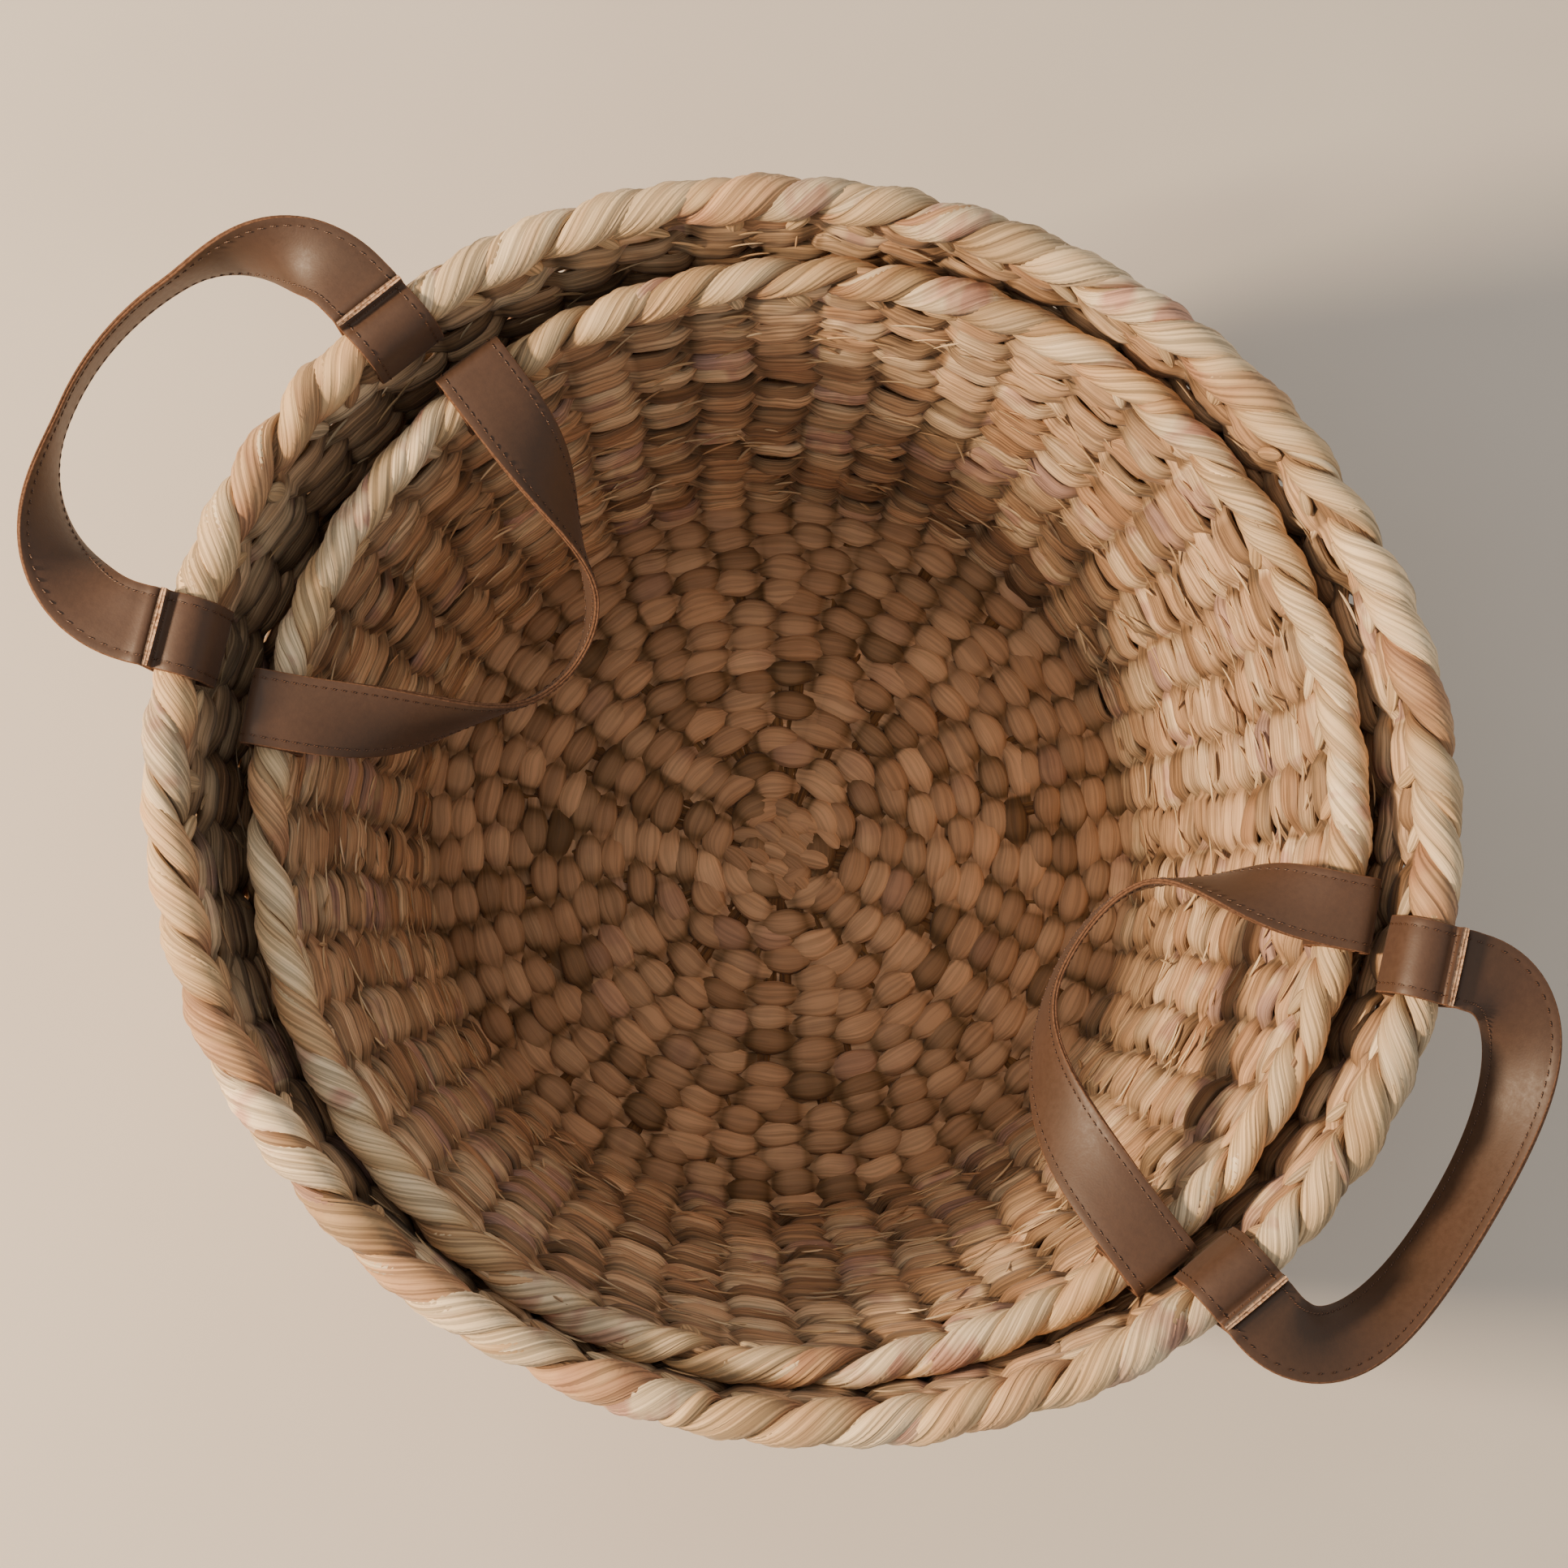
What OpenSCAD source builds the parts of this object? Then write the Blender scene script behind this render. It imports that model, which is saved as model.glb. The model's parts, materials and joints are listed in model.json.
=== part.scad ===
// Nesting pair of round woven laundry baskets with leather strap handles.
// Frame: +Z up, origin on the floor under the middle of the large basket,
// handles on the X axis. Both baskets are shown as stored, one in the other.

/* [Large basket] */
// Outside diameter over the rim border
large_rim_d = 500; // [420:5:600]
// Outside diameter of the base
large_base_d = 396; // [330:2:470]
// Height from the floor to the top of the border
large_h = 300; // [240:5:380]
// Width of the rim border
large_border_w = 17; // [14:0.5:22]
// Depth of the rim border
large_border_h = 21; // [17:0.5:27]
// Number of stakes
large_stakes = 54; // [44:2:64]

/* [Small basket] */
// How far its rim sits below the large rim
rim_drop = 27; // [22:1:60]
// Width of the rim border
small_border_w = 14; // [13:0.5:18]
// Depth of the rim border
small_border_h = 18; // [15:0.5:24]
// Number of stakes
small_stakes = 48; // [40:2:56]

/* [Weave] */
// Thickness of the woven walls
wall_t = 12; // [10:0.5:13]
// Thickness of the woven bases
floor_t = 12; // [10:0.5:16]
// Rounding under the edge of the bases
foot_r = 8; // [4:0.5:9]
// Width of a stake
stake_w = 12; // [8:0.5:14]
// Thickness of a stake
stake_t = 3; // [2:0.25:4]

/* [Leather strap] */
// Width of the strap
strap_w = 30; // [22:1:38]
// Thickness of one leather ply
ply_t = 1.15; // [0.8:0.05:1.6]
// Distance of the edge seam from the strap's edge
seam_inset = 3.5; // [2:0.25:6]
// Width of the thread
thread_w = 0.8; // [0.5:0.1:1.2]
// Height of the thread on the leather
thread_h = 0.4; // [0.2:0.05:0.5]

/* [Large handles] */
// Angle from the handle axis to each rim loop
large_loop_angle = 17; // [13:0.5:25]
// How far the strap reaches out from the rim
large_reach = 92; // [70:1:120]
// How far the strap droops below the rim
large_droop = 40; // [0:1:60]
// Turn of the strap at the middle of the handle
large_twist = 70; // [20:1:90]
// Height of the raw strap end above the rim
flap_h = 6.5; // [5:0.25:9]

/* [Small handles] */
// Angle from the handle axis to each rim loop
small_loop_angle = 21; // [15:0.5:28]
// How far the strap reaches in from the rim
small_reach = 100; // [80:1:125]
// How far the strap droops below the rim
small_droop = 55; // [20:1:80]
// Turn of the strap at the middle of the handle
small_twist = 75; // [20:1:90]
// Bend radius where the strap folds in over the rim
small_fold_r = 5; // [4:0.25:6]

/* [Clearances] */
// Gap under the small basket's base
seat_gap = 0.3; // [0.2:0.1:1]
// Room between the rim loops of the two baskets as the small one lifts out
lift_clear = 0.4; // [0.3:0.1:2]
// Room between a rim loop and the border it goes round
loop_gap = 0.7; // [0.65:0.05:1.5]
// Room above and below the strap where it goes through the wall
slot_gap = 0.8; // [0.6:0.1:1.5]
// Room at each side of the strap where it goes through the wall
slot_side = 1; // [0.5:0.1:2]
// Room round a stake in the weave
stake_fit = 0.15; // [0.1:0.05:0.3]
// Gap between two leather plies
ply_gap = 0.1; // [0.05:0.05:0.2]
// Gap between the raw strap end and the strap it is sewn to
fin_gap = 0.3; // [0.2:0.1:0.6]
// Gap between the thread and the leather
thread_gap = 0.03; // [0.02:0.01:0.1]

/* [Hidden] */
$fn = 120;

strap_t = 2 * ply_t + ply_gap;
slot_h = strap_t + 2 * slot_gap;
thread_stand = thread_gap + thread_h;

// The flat strap lies across the curved border: a wide strap on a small rim needs more
// room than the gap. The small rim is at least this share of the large one.
small_rim_share = 0.85;
bow_clear = 0.15;
rim_bow = pow(strap_w / 2, 2) / (small_rim_share * large_rim_d);
loop_room = max(loop_gap, rim_bow + bow_clear);
loop_stand = loop_room + strap_t + thread_stand;

// Radius of the fold at the large raw strap end, and of the strap's inner face and
// middle at its corners in the wall slot
flap_fold_r = 1.7 * ply_t;
corner_inner_r = 1.675;
corner_r = corner_inner_r + strap_t / 2;

// Least web of weave between two neighbouring stakes
stake_web = 1;

// Length of strap left out between a rim loop and its handle, where the leather bends
bend_l = 7;
// Rise of the large hinge line above the rim
large_hinge_rise = 1;
// Angle round the border, from its outer side, at which the small raw strap end stops
small_tail_angle = 62;
// Straightness of the strap as it leaves the loop, as a share of the reach
leg_share = 0.55;
// Width of the round middle of a handle, as a share of its half span
bight_share = 0.72;
// Rings along half a handle
half_rings = 16;

// The wall's middle line: its flare, and its radius at a height
large_rim_mid_r = (large_rim_d - large_border_w) / 2;
large_base_mid_r = (large_base_d - wall_t) / 2;
flare = atan((large_rim_mid_r - large_base_mid_r) / (large_h - large_border_w / 2 - floor_t));
function large_mid_r(z) = large_base_mid_r + tan(flare) * (z - floor_t);

// The small strap comes up outside its border, turns in round a fold, and crosses level
// over its own raw end, which lies on the border
small_leg_x = small_border_w / 2 + loop_room + strap_t / 2;
small_over_r = small_leg_x + strap_t + 2 * thread_stand + fin_gap;
cross_drop = small_droop * pow(2 * small_fold_r / small_reach, 2);
small_leg_top = (small_over_r + cross_drop - small_fold_r
    + (small_leg_x - small_fold_r) * sin(flare)) / cos(flare);

// The small basket stands in the large one. The gap between the walls leaves room
// for both borders and both sets of rim loops to pass as it is lifted. The loops meet
// once the top of the small one is up to the foot of the large one.
small_z0 = floor_t + seat_gap;
small_top = large_h - rim_drop;
overhangs = (large_border_w + small_border_w) / 2 - wall_t;
corner_reach = pow(strap_w / 2, 2) / large_rim_d;
large_foot_z = large_h - large_border_w / 2 + (large_border_w / 2 + loop_stand) * sin(flare)
    - (large_border_h - large_border_w / 2 + slot_h / 2 - corner_r) * cos(flare);
small_leg_z = small_top - small_border_w / 2 - (small_leg_x + strap_t / 2) * sin(flare)
    + small_leg_top * cos(flare);
pass_rise = max(0, large_foot_z - small_leg_z);
nest_gap = lift_clear + overhangs + 2 * loop_stand + corner_reach - pass_rise * sin(flare);
nest_shift = (wall_t + nest_gap) / cos(flare);

// A basket: [floor level, rim level, middle radius at the rim, middle radius at the
// base, border width, border depth, stakes]
LARGE = [0, large_h, large_rim_mid_r, large_base_mid_r, large_border_w, large_border_h,
    large_stakes];
SMALL = [small_z0, small_top, large_mid_r(small_top - small_border_w / 2) - nest_shift,
    large_mid_r(small_z0 + floor_t) - nest_shift, small_border_w, small_border_h,
    small_stakes];
function floor_z(b) = b[0];
function rim_z(b) = b[1];
function rim_r(b) = b[2];
function base_r(b) = b[3];
function border_w(b) = b[4];
function border_h(b) = b[5];
function stake_count(b) = b[6];

// Centre of the border's round top, and the wall's end below it, measured along the wall
function border_z(b) = rim_z(b) - border_w(b) / 2;
function wall_end(b) = -(border_h(b) - border_w(b) / 2);
function foot_edge_r(b) = base_r(b) + wall_t / 2 / cos(flare);

// A handle: [angle of its rim loops, 1 if it flops out or -1 in, reach, droop, twist,
// fold radius at the rim, height of its rim loops' outer leg above the border's middle]
LARGE_HANDLE = [large_loop_angle, 1, large_reach, large_droop, large_twist, 0,
    large_border_w / 2 + large_hinge_rise];
SMALL_HANDLE = [small_loop_angle, -1, small_reach, small_droop, small_twist, small_fold_r,
    small_leg_top];
function loop_angle(h) = h[0];
function flop(h) = h[1];
function reach(h) = h[2];
function droop(h) = h[3];
function twist(h) = h[4];
function rim_fold(h) = h[5];
function leg_top(h) = h[6];

// Places the border's own frame: x square to the wall, y along the wall
module at_border(b, angle = 0)
    rotate([0, 0, angle]) translate([rim_r(b), 0, border_z(b)]) rotate([0, flare, 0]) children();

// Radius and height of a point given in the border's own frame
function border_point(b, p) = [
    rim_r(b) + p[0] * cos(flare) + p[1] * sin(flare),
    border_z(b) - p[0] * sin(flare) + p[1] * cos(flare),
];

// --- Weave -------------------------------------------------------------------------

module base_weave(b) {
    z = floor_z(b);
    r = foot_edge_r(b);
    difference() {
        rotate_extrude() union() {
            translate([0, z]) square([r - foot_r, floor_t]);
            translate([r - foot_r, z + foot_r]) square([foot_r, floor_t - foot_r]);
            intersection() {
                translate([r - foot_r, z]) square(foot_r);
                translate([r - foot_r, z + foot_r]) circle(foot_r);
            }
        }
        all_stakes(b, stake_fit);
    }
}

module wall_weave(b) {
    half = wall_t / 2;
    foot = half / cos(flare);
    difference() {
        rotate_extrude() polygon([
            [base_r(b) - foot, floor_z(b) + floor_t],
            [base_r(b) + foot, floor_z(b) + floor_t],
            border_point(b, [half, wall_end(b)]),
            border_point(b, [-half, wall_end(b)]),
        ]);
        all_stakes(b, stake_fit);
        strap_slots(b);
    }
}

// Stakes run out in the thickness of the base and up in the thickness of the wall.
// Every second one starts further out, where there is room for it.
module stakes(b) difference() {
    all_stakes(b, 0);
    strap_slots(b);
}

module all_stakes(b, fit) {
    n = stake_count(b);
    pitch = stake_w + 2 * stake_fit + stake_web;
    first_r = n / 2 * pitch / (2 * PI);
    for (i = [0:n - 1])
        rotate([0, 0, 360 * (i + 0.5) / n]) stake(b, i % 2 == 0 ? first_r : 2 * first_r, fit);
}

module stake(b, start_r, fit) {
    w = stake_w + 2 * fit;
    t = stake_t + 2 * fit;
    turn_z = floor_z(b) + floor_t / 2;
    turn_r = base_r(b) - tan(flare) * floor_t / 2;
    length = (border_z(b) - turn_z) / cos(flare) + wall_end(b);
    union() {
        translate([start_r - fit, -w / 2, turn_z - t / 2]) cube([turn_r - start_r + fit, w, t]);
        translate([turn_r, 0, turn_z]) rotate([0, flare, 0])
            translate([-t / 2, -w / 2, -t / 2]) cube([t, w, length + t / 2 - stake_fit + fit * 2]);
    }
}

// Gaps just under the border that the strap ends go through
module strap_slots(b) {
    h = b == LARGE ? LARGE_HANDLE : SMALL_HANDLE;
    for (side = [0, 180], end = [-1, 1]) at_border(b, side + end * loop_angle(h))
        translate([-wall_t, -strap_w / 2 - slot_side, wall_end(b) - slot_h])
            cube([2 * wall_t, strap_w + 2 * slot_side, slot_h + stake_fit]);
}

module rim_border(b) {
    w = border_w(b);
    rotate_extrude() union() {
        translate([rim_r(b), border_z(b)]) circle(w / 2);
        polygon([
            border_point(b, [-w / 2, 0]), border_point(b, [-w / 2, wall_end(b)]),
            border_point(b, [w / 2, wall_end(b)]), border_point(b, [w / 2, 0]),
        ]);
    }
}

// --- Rim loops ---------------------------------------------------------------------

function arc(c, r, from, to, n) =
    [for (i = [0:n]) let (a = from + (to - from) * i / n) c + r * [cos(a), sin(a)]];

// Distance of the strap's outer leg from the border's middle
function leg_x(b) = border_w(b) / 2 + loop_room + strap_t / 2;

// Fold at the foot of the large raw end, which stands up beside the outer leg
flap_x = leg_x(LARGE) - strap_t - fin_gap;
flap_fold = [flap_x - flap_fold_r,
    sqrt(pow(leg_x(LARGE) + flap_fold_r, 2) - pow(flap_x - flap_fold_r, 2))];
flap_angle = atan2(flap_fold[1], flap_fold[0]);
flap_path = concat(
    [[flap_x, large_border_w / 2 + flap_h]],
    arc(flap_fold, flap_fold_r, 0, flap_angle - 180, 6)
);

// Middle line of the strap end, in the border's own frame: from the raw end over the
// border, down inside, out through the slot and up outside
function loop_path(b, h) =
    let (r = leg_x(b), slot_y = wall_end(b) - slot_h / 2)
    concat(
        b == LARGE ? flap_path : [],
        arc([0, 0], r, b == LARGE ? flap_angle + 5 : small_tail_angle, 180, 14),
        arc([corner_r - r, slot_y + corner_r], corner_r, 180, 270, 4),
        arc([r - corner_r, slot_y + corner_r], corner_r, 270, 360, 4),
        [[r, leg_top(h)]]
    );

function left_of(path, i) =
    let (
        n = len(path) - 1,
        d = path[min(i + 1, n)] - path[max(i - 1, 0)]
    )
    [-d[1], d[0]] / norm(d);

// Outline of a strip that follows a path between two offsets to its left
module strip(path, inner, outer) {
    n = len(path) - 1;
    polygon(concat(
        [for (i = [0:n]) path[i] + left_of(path, i) * inner],
        [for (i = [n:-1:0]) path[i] + left_of(path, i) * outer]
    ));
}

// Draws its children, given in the border's own frame, at both loops of one handle
module at_loops(b, h, side) {
    for (end = [-1, 1]) at_border(b, side + end * loop_angle(h)) rotate([90, 0, 0]) children();
}

module loops_lining(b, h, side) at_loops(b, h, side)
    linear_extrude(strap_w, center = true)
        strip(loop_path(b, h), ply_gap / 2, strap_t / 2);

module loops_face(b, h, side) at_loops(b, h, side)
    linear_extrude(strap_w, center = true)
        strip(loop_path(b, h), -ply_gap / 2, -strap_t / 2);

module loops_thread(b, h, side) {
    path = loop_path(b, h);
    low = strap_t / 2 + thread_gap;
    high = low + thread_h;
    seam_l = strap_w - 2 * seam_inset - 3 * thread_w;
    at_loops(b, h, side) {
        for (z = [-1, 1]) translate([0, 0, z * (strap_w / 2 - seam_inset)])
            linear_extrude(thread_w, center = true) strip(path, -low, -high);
        if (b == LARGE) translate([path[0][0] - high, path[0][1] - 3 * thread_w, -seam_l / 2])
            cube([thread_h, thread_w, seam_l]);
        translate([leg_x(b) + low, leg_top(h) - 2 * thread_w, -seam_l / 2])
            cube([thread_h, thread_w, seam_l]);
    }
}

// --- Handles -----------------------------------------------------------------------

// The hinge line of a handle is the chord between its two rim loops, at the middle of
// the fold where the strap leaves them
function hinge_point(b, h) = border_point(b, [leg_x(b) - rim_fold(h), leg_top(h)]);
function hinge_x(b, h) = hinge_point(b, h)[0] * cos(loop_angle(h));
function hinge_span(b, h) = hinge_point(b, h)[0] * sin(loop_angle(h));

function bezier(p, t) =
    pow(1 - t, 3) * p[0] + 3 * t * pow(1 - t, 2) * p[1] + 3 * t * t * (1 - t) * p[2]
    + pow(t, 3) * p[3];

// Middle line of half a handle, from a rim loop to the middle. x runs along the hinge
// line, y away from it, z up. The strap leaves above the hinge by the radius of its fold
// and droops with the square of its reach.
function half_line(b, h) =
    let (
        a = hinge_span(b, h),
        lean = flop(h) * loop_angle(h),
        leg = [-sin(lean), cos(lean)],
        start = [-a, 0] + bend_l * leg,
        p = [start, start + leg * leg_share * reach(h),
            [-bight_share * a, reach(h)], [0, reach(h)]]
    )
    [for (i = [0:half_rings]) let (q = bezier(p, i / half_rings))
        [q[0], q[1], rim_fold(h) - droop(h) * pow(q[1] / reach(h), 2)]];

function handle_line(b, h) =
    let (half = half_line(b, h))
    concat(half, [for (i = [half_rings - 1:-1:0]) [-half[i][0], half[i][1], half[i][2]]]);

function smooth(t) = t * t * (3 - 2 * t);
function unit(v) = v / norm(v);

// Points of the strap at every ring. Its section has the given columns, from edge to
// edge, first at the low offset and then back at the high one.
function strap_points(line, turn, columns, low, high) =
    let (last_ring = len(line) - 1, last = len(columns) - 1)
    [
        for (i = [0:last_ring])
            let (
                along = unit(line[min(i + 1, last_ring)] - line[max(i - 1, 0)]),
                up = unit([0, 0, 1] - along[2] * along),
                side = cross(along, up),
                a = turn * smooth(1 - abs(2 * i / last_ring - 1)),
                width = cos(a) * side + sin(a) * up,
                face = cross(along, width)
            )
            each concat(
                [for (c = columns) line[i] + c * width + low * face],
                [for (k = [last:-1:0]) line[i] + columns[k] * width + high * face]
            )
    ];

// The low and high sides are cut into triangles along the same diagonals, so that
// strips laid on each other stay parallel.
module strap_strip(line, turn, columns, low, high) {
    n = 2 * len(columns);
    rings = len(line);
    far = n * (rings - 1);
    polyhedron(strap_points(line, turn, columns, low, high), concat(
        [for (k = [0:len(columns) - 2]) [k, k + 1, n - 2 - k, n - 1 - k]],
        [for (i = [0:rings - 2], k = [0:n - 1])
            let (a = n * i + k, c = n * i + (k + 1) % n)
            each k < len(columns) ? [[a, a + n, c], [c, a + n, c + n]]
                : [[a, a + n, c + n], [a, c + n, c]]],
        [for (k = [0:len(columns) - 2])
            [far + n - 1 - k, far + n - 2 - k, far + k + 1, far + k]]
    ), convexity = 6);
}

// Turns a handle's own frame into the row's: side 0 is the right, 180 the left
module at_hinge(b, h, side)
    rotate([0, 0, side]) translate([hinge_x(b, h), 0, hinge_point(b, h)[1]])
        rotate([0, 0, -flop(h) * 90]) children();

// Columns on both sides of a seam
function seam_columns(edge) =
    [for (c = [-1, 1]) edge * (strap_w / 2 - seam_inset) + c * thread_w / 2];

module handle_ply(b, h, side, low, high) at_hinge(b, h, side)
    strap_strip(handle_line(b, h), twist(h),
        concat([-strap_w / 2], seam_columns(-1), seam_columns(1), [strap_w / 2]), low, high);

module handle_face(b, h, side) handle_ply(b, h, side, ply_gap / 2, strap_t / 2);

module handle_lining(b, h, side) handle_ply(b, h, side, -strap_t / 2, -ply_gap / 2);

module handle_thread(b, h, side) {
    low = strap_t / 2 + thread_gap;
    high = low + thread_h;
    at_hinge(b, h, side)
        for (edge = [-1, 1], face = [[low, high], [-high, -low]])
            strap_strip(handle_line(b, h), twist(h), seam_columns(edge), face[0], face[1]);
}

// --- Nodes -------------------------------------------------------------------------

module weave_color() color("#d3b387") children();
module stake_color() color("#a98455") children();
module border_color() color("#e0c598") children();
module face_color() color("#87604a") children();
module lining_color() color("#6d4a38") children();
module thread_color() color("#3b261b") children();

weave_color() base_weave(LARGE);  // large_base_weave
weave_color() wall_weave(LARGE);  // large_wall_weave
stake_color() stakes(LARGE);  // large_stakes
border_color() rim_border(LARGE);  // large_rim_border
face_color() handle_face(LARGE, LARGE_HANDLE, 180);  // large_left_handle_face
lining_color() handle_lining(LARGE, LARGE_HANDLE, 180);  // large_left_handle_lining
thread_color() handle_thread(LARGE, LARGE_HANDLE, 180);  // large_left_handle_thread
face_color() loops_face(LARGE, LARGE_HANDLE, 180);  // large_left_loops_face
lining_color() loops_lining(LARGE, LARGE_HANDLE, 180);  // large_left_loops_lining
thread_color() loops_thread(LARGE, LARGE_HANDLE, 180);  // large_left_loops_thread
face_color() handle_face(LARGE, LARGE_HANDLE, 0);  // large_right_handle_face
lining_color() handle_lining(LARGE, LARGE_HANDLE, 0);  // large_right_handle_lining
thread_color() handle_thread(LARGE, LARGE_HANDLE, 0);  // large_right_handle_thread
face_color() loops_face(LARGE, LARGE_HANDLE, 0);  // large_right_loops_face
lining_color() loops_lining(LARGE, LARGE_HANDLE, 0);  // large_right_loops_lining
thread_color() loops_thread(LARGE, LARGE_HANDLE, 0);  // large_right_loops_thread
weave_color() base_weave(SMALL);  // small_base_weave
weave_color() wall_weave(SMALL);  // small_wall_weave
stake_color() stakes(SMALL);  // small_stakes
border_color() rim_border(SMALL);  // small_rim_border
face_color() handle_face(SMALL, SMALL_HANDLE, 180);  // small_left_handle_face
lining_color() handle_lining(SMALL, SMALL_HANDLE, 180);  // small_left_handle_lining
thread_color() handle_thread(SMALL, SMALL_HANDLE, 180);  // small_left_handle_thread
face_color() loops_face(SMALL, SMALL_HANDLE, 180);  // small_left_loops_face
lining_color() loops_lining(SMALL, SMALL_HANDLE, 180);  // small_left_loops_lining
thread_color() loops_thread(SMALL, SMALL_HANDLE, 180);  // small_left_loops_thread
face_color() handle_face(SMALL, SMALL_HANDLE, 0);  // small_right_handle_face
lining_color() handle_lining(SMALL, SMALL_HANDLE, 0);  // small_right_handle_lining
thread_color() handle_thread(SMALL, SMALL_HANDLE, 0);  // small_right_handle_thread
face_color() loops_face(SMALL, SMALL_HANDLE, 0);  // small_right_loops_face
lining_color() loops_lining(SMALL, SMALL_HANDLE, 0);  // small_right_loops_lining
thread_color() loops_thread(SMALL, SMALL_HANDLE, 0);  // small_right_loops_thread
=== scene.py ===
"""Nesting pair of round woven laundry baskets with leather strap handles.

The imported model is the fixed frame. Its plain weave, stake, border and strap solids are
replaced by real strands, rope borders and sewn two-ply straps, which follow the same
flared walls, rims and hinge lines. All sizes are metres in the row frame.
"""

import json
import logging
import math
from dataclasses import dataclass, field
from enum import Enum
from typing import Callable, Dict, List, Optional, Sequence, Tuple

import bpy
import numpy as np
from mathutils import Matrix, Vector


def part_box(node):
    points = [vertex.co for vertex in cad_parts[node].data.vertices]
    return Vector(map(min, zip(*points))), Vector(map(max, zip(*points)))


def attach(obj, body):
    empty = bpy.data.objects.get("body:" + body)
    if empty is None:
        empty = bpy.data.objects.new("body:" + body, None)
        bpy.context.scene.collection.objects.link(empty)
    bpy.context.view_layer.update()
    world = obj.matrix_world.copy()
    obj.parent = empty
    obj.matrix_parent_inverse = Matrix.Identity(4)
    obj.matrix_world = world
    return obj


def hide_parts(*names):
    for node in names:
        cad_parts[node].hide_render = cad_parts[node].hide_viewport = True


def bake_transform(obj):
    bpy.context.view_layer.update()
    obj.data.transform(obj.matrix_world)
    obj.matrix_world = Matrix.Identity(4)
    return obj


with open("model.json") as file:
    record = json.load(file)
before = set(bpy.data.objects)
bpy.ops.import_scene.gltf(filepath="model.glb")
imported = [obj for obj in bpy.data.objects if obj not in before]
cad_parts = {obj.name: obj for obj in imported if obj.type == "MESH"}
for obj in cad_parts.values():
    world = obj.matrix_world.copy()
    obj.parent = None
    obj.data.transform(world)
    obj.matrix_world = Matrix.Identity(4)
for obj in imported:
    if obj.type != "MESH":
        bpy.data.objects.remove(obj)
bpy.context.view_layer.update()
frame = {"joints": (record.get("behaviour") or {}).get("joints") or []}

MM = 0.001
TAU = 2 * math.pi
LOG = logging.getLogger("laundry_baskets")

Points = np.ndarray
Surface = Callable[[Points, Points, Points], Points]


# --- Colours and nodes -----------------------------------------------------------------


def linear(hex_colour: str) -> Tuple[float, float, float, float]:
    """Turns an sRGB hex colour into linear RGBA.

    Args:
        hex_colour: A colour such as "#d9b98a".

    Returns:
        Red, green, blue and alpha, from 0 to 1.
    """
    values = [int(hex_colour[i : i + 2], 16) / 255 for i in (1, 3, 5)]
    turned = [v / 12.92 if v <= 0.04045 else ((v + 0.055) / 1.055) ** 2.4 for v in values]
    return (turned[0], turned[1], turned[2], 1.0)


def add_node(
    tree: bpy.types.NodeTree,
    kind: str,
    settings: Optional[Dict[str, object]] = None,
    inputs: Optional[Dict[object, object]] = None,
) -> bpy.types.Node:
    """Adds a node, sets its properties, and sets or links its inputs.

    Args:
        tree: The node tree that gets the node.
        kind: The node's type name without "ShaderNode".
        settings: Values for the node's own properties.
        inputs: Values for its sockets by name or number. A value that is itself a
            socket is linked.

    Returns:
        The new node.
    """
    node = tree.nodes.new("ShaderNode" + kind)
    for name, value in (settings or {}).items():
        setattr(node, name, value)
    for name, value in (inputs or {}).items():
        if isinstance(value, bpy.types.NodeSocket):
            tree.links.new(value, node.inputs[name])
        else:
            node.inputs[name].default_value = value
    return node


def set_ramp(node: bpy.types.Node, stops: Sequence[Tuple[float, str]]) -> bpy.types.Node:
    """Gives a colour ramp its stops.

    Args:
        node: A ColorRamp node.
        stops: Pairs of place and sRGB hex colour, in order.

    Returns:
        The same node.
    """
    elements = node.color_ramp.elements
    while len(elements) < len(stops):
        elements.new(1.0)
    for element, (place, colour) in zip(elements, stops):
        element.position = place
        element.color = linear(colour)
    return node


def new_material(name: str) -> Tuple[bpy.types.Material, bpy.types.NodeTree, bpy.types.Node]:
    """Makes a material with one Principled shader.

    Args:
        name: The material's name.

    Returns:
        The material, its node tree and its Principled node.
    """
    material = bpy.data.materials.new(name)
    material.use_nodes = True
    tree = material.node_tree
    return material, tree, tree.nodes["Principled BSDF"]


# --- Finishes --------------------------------------------------------------------------


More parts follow.
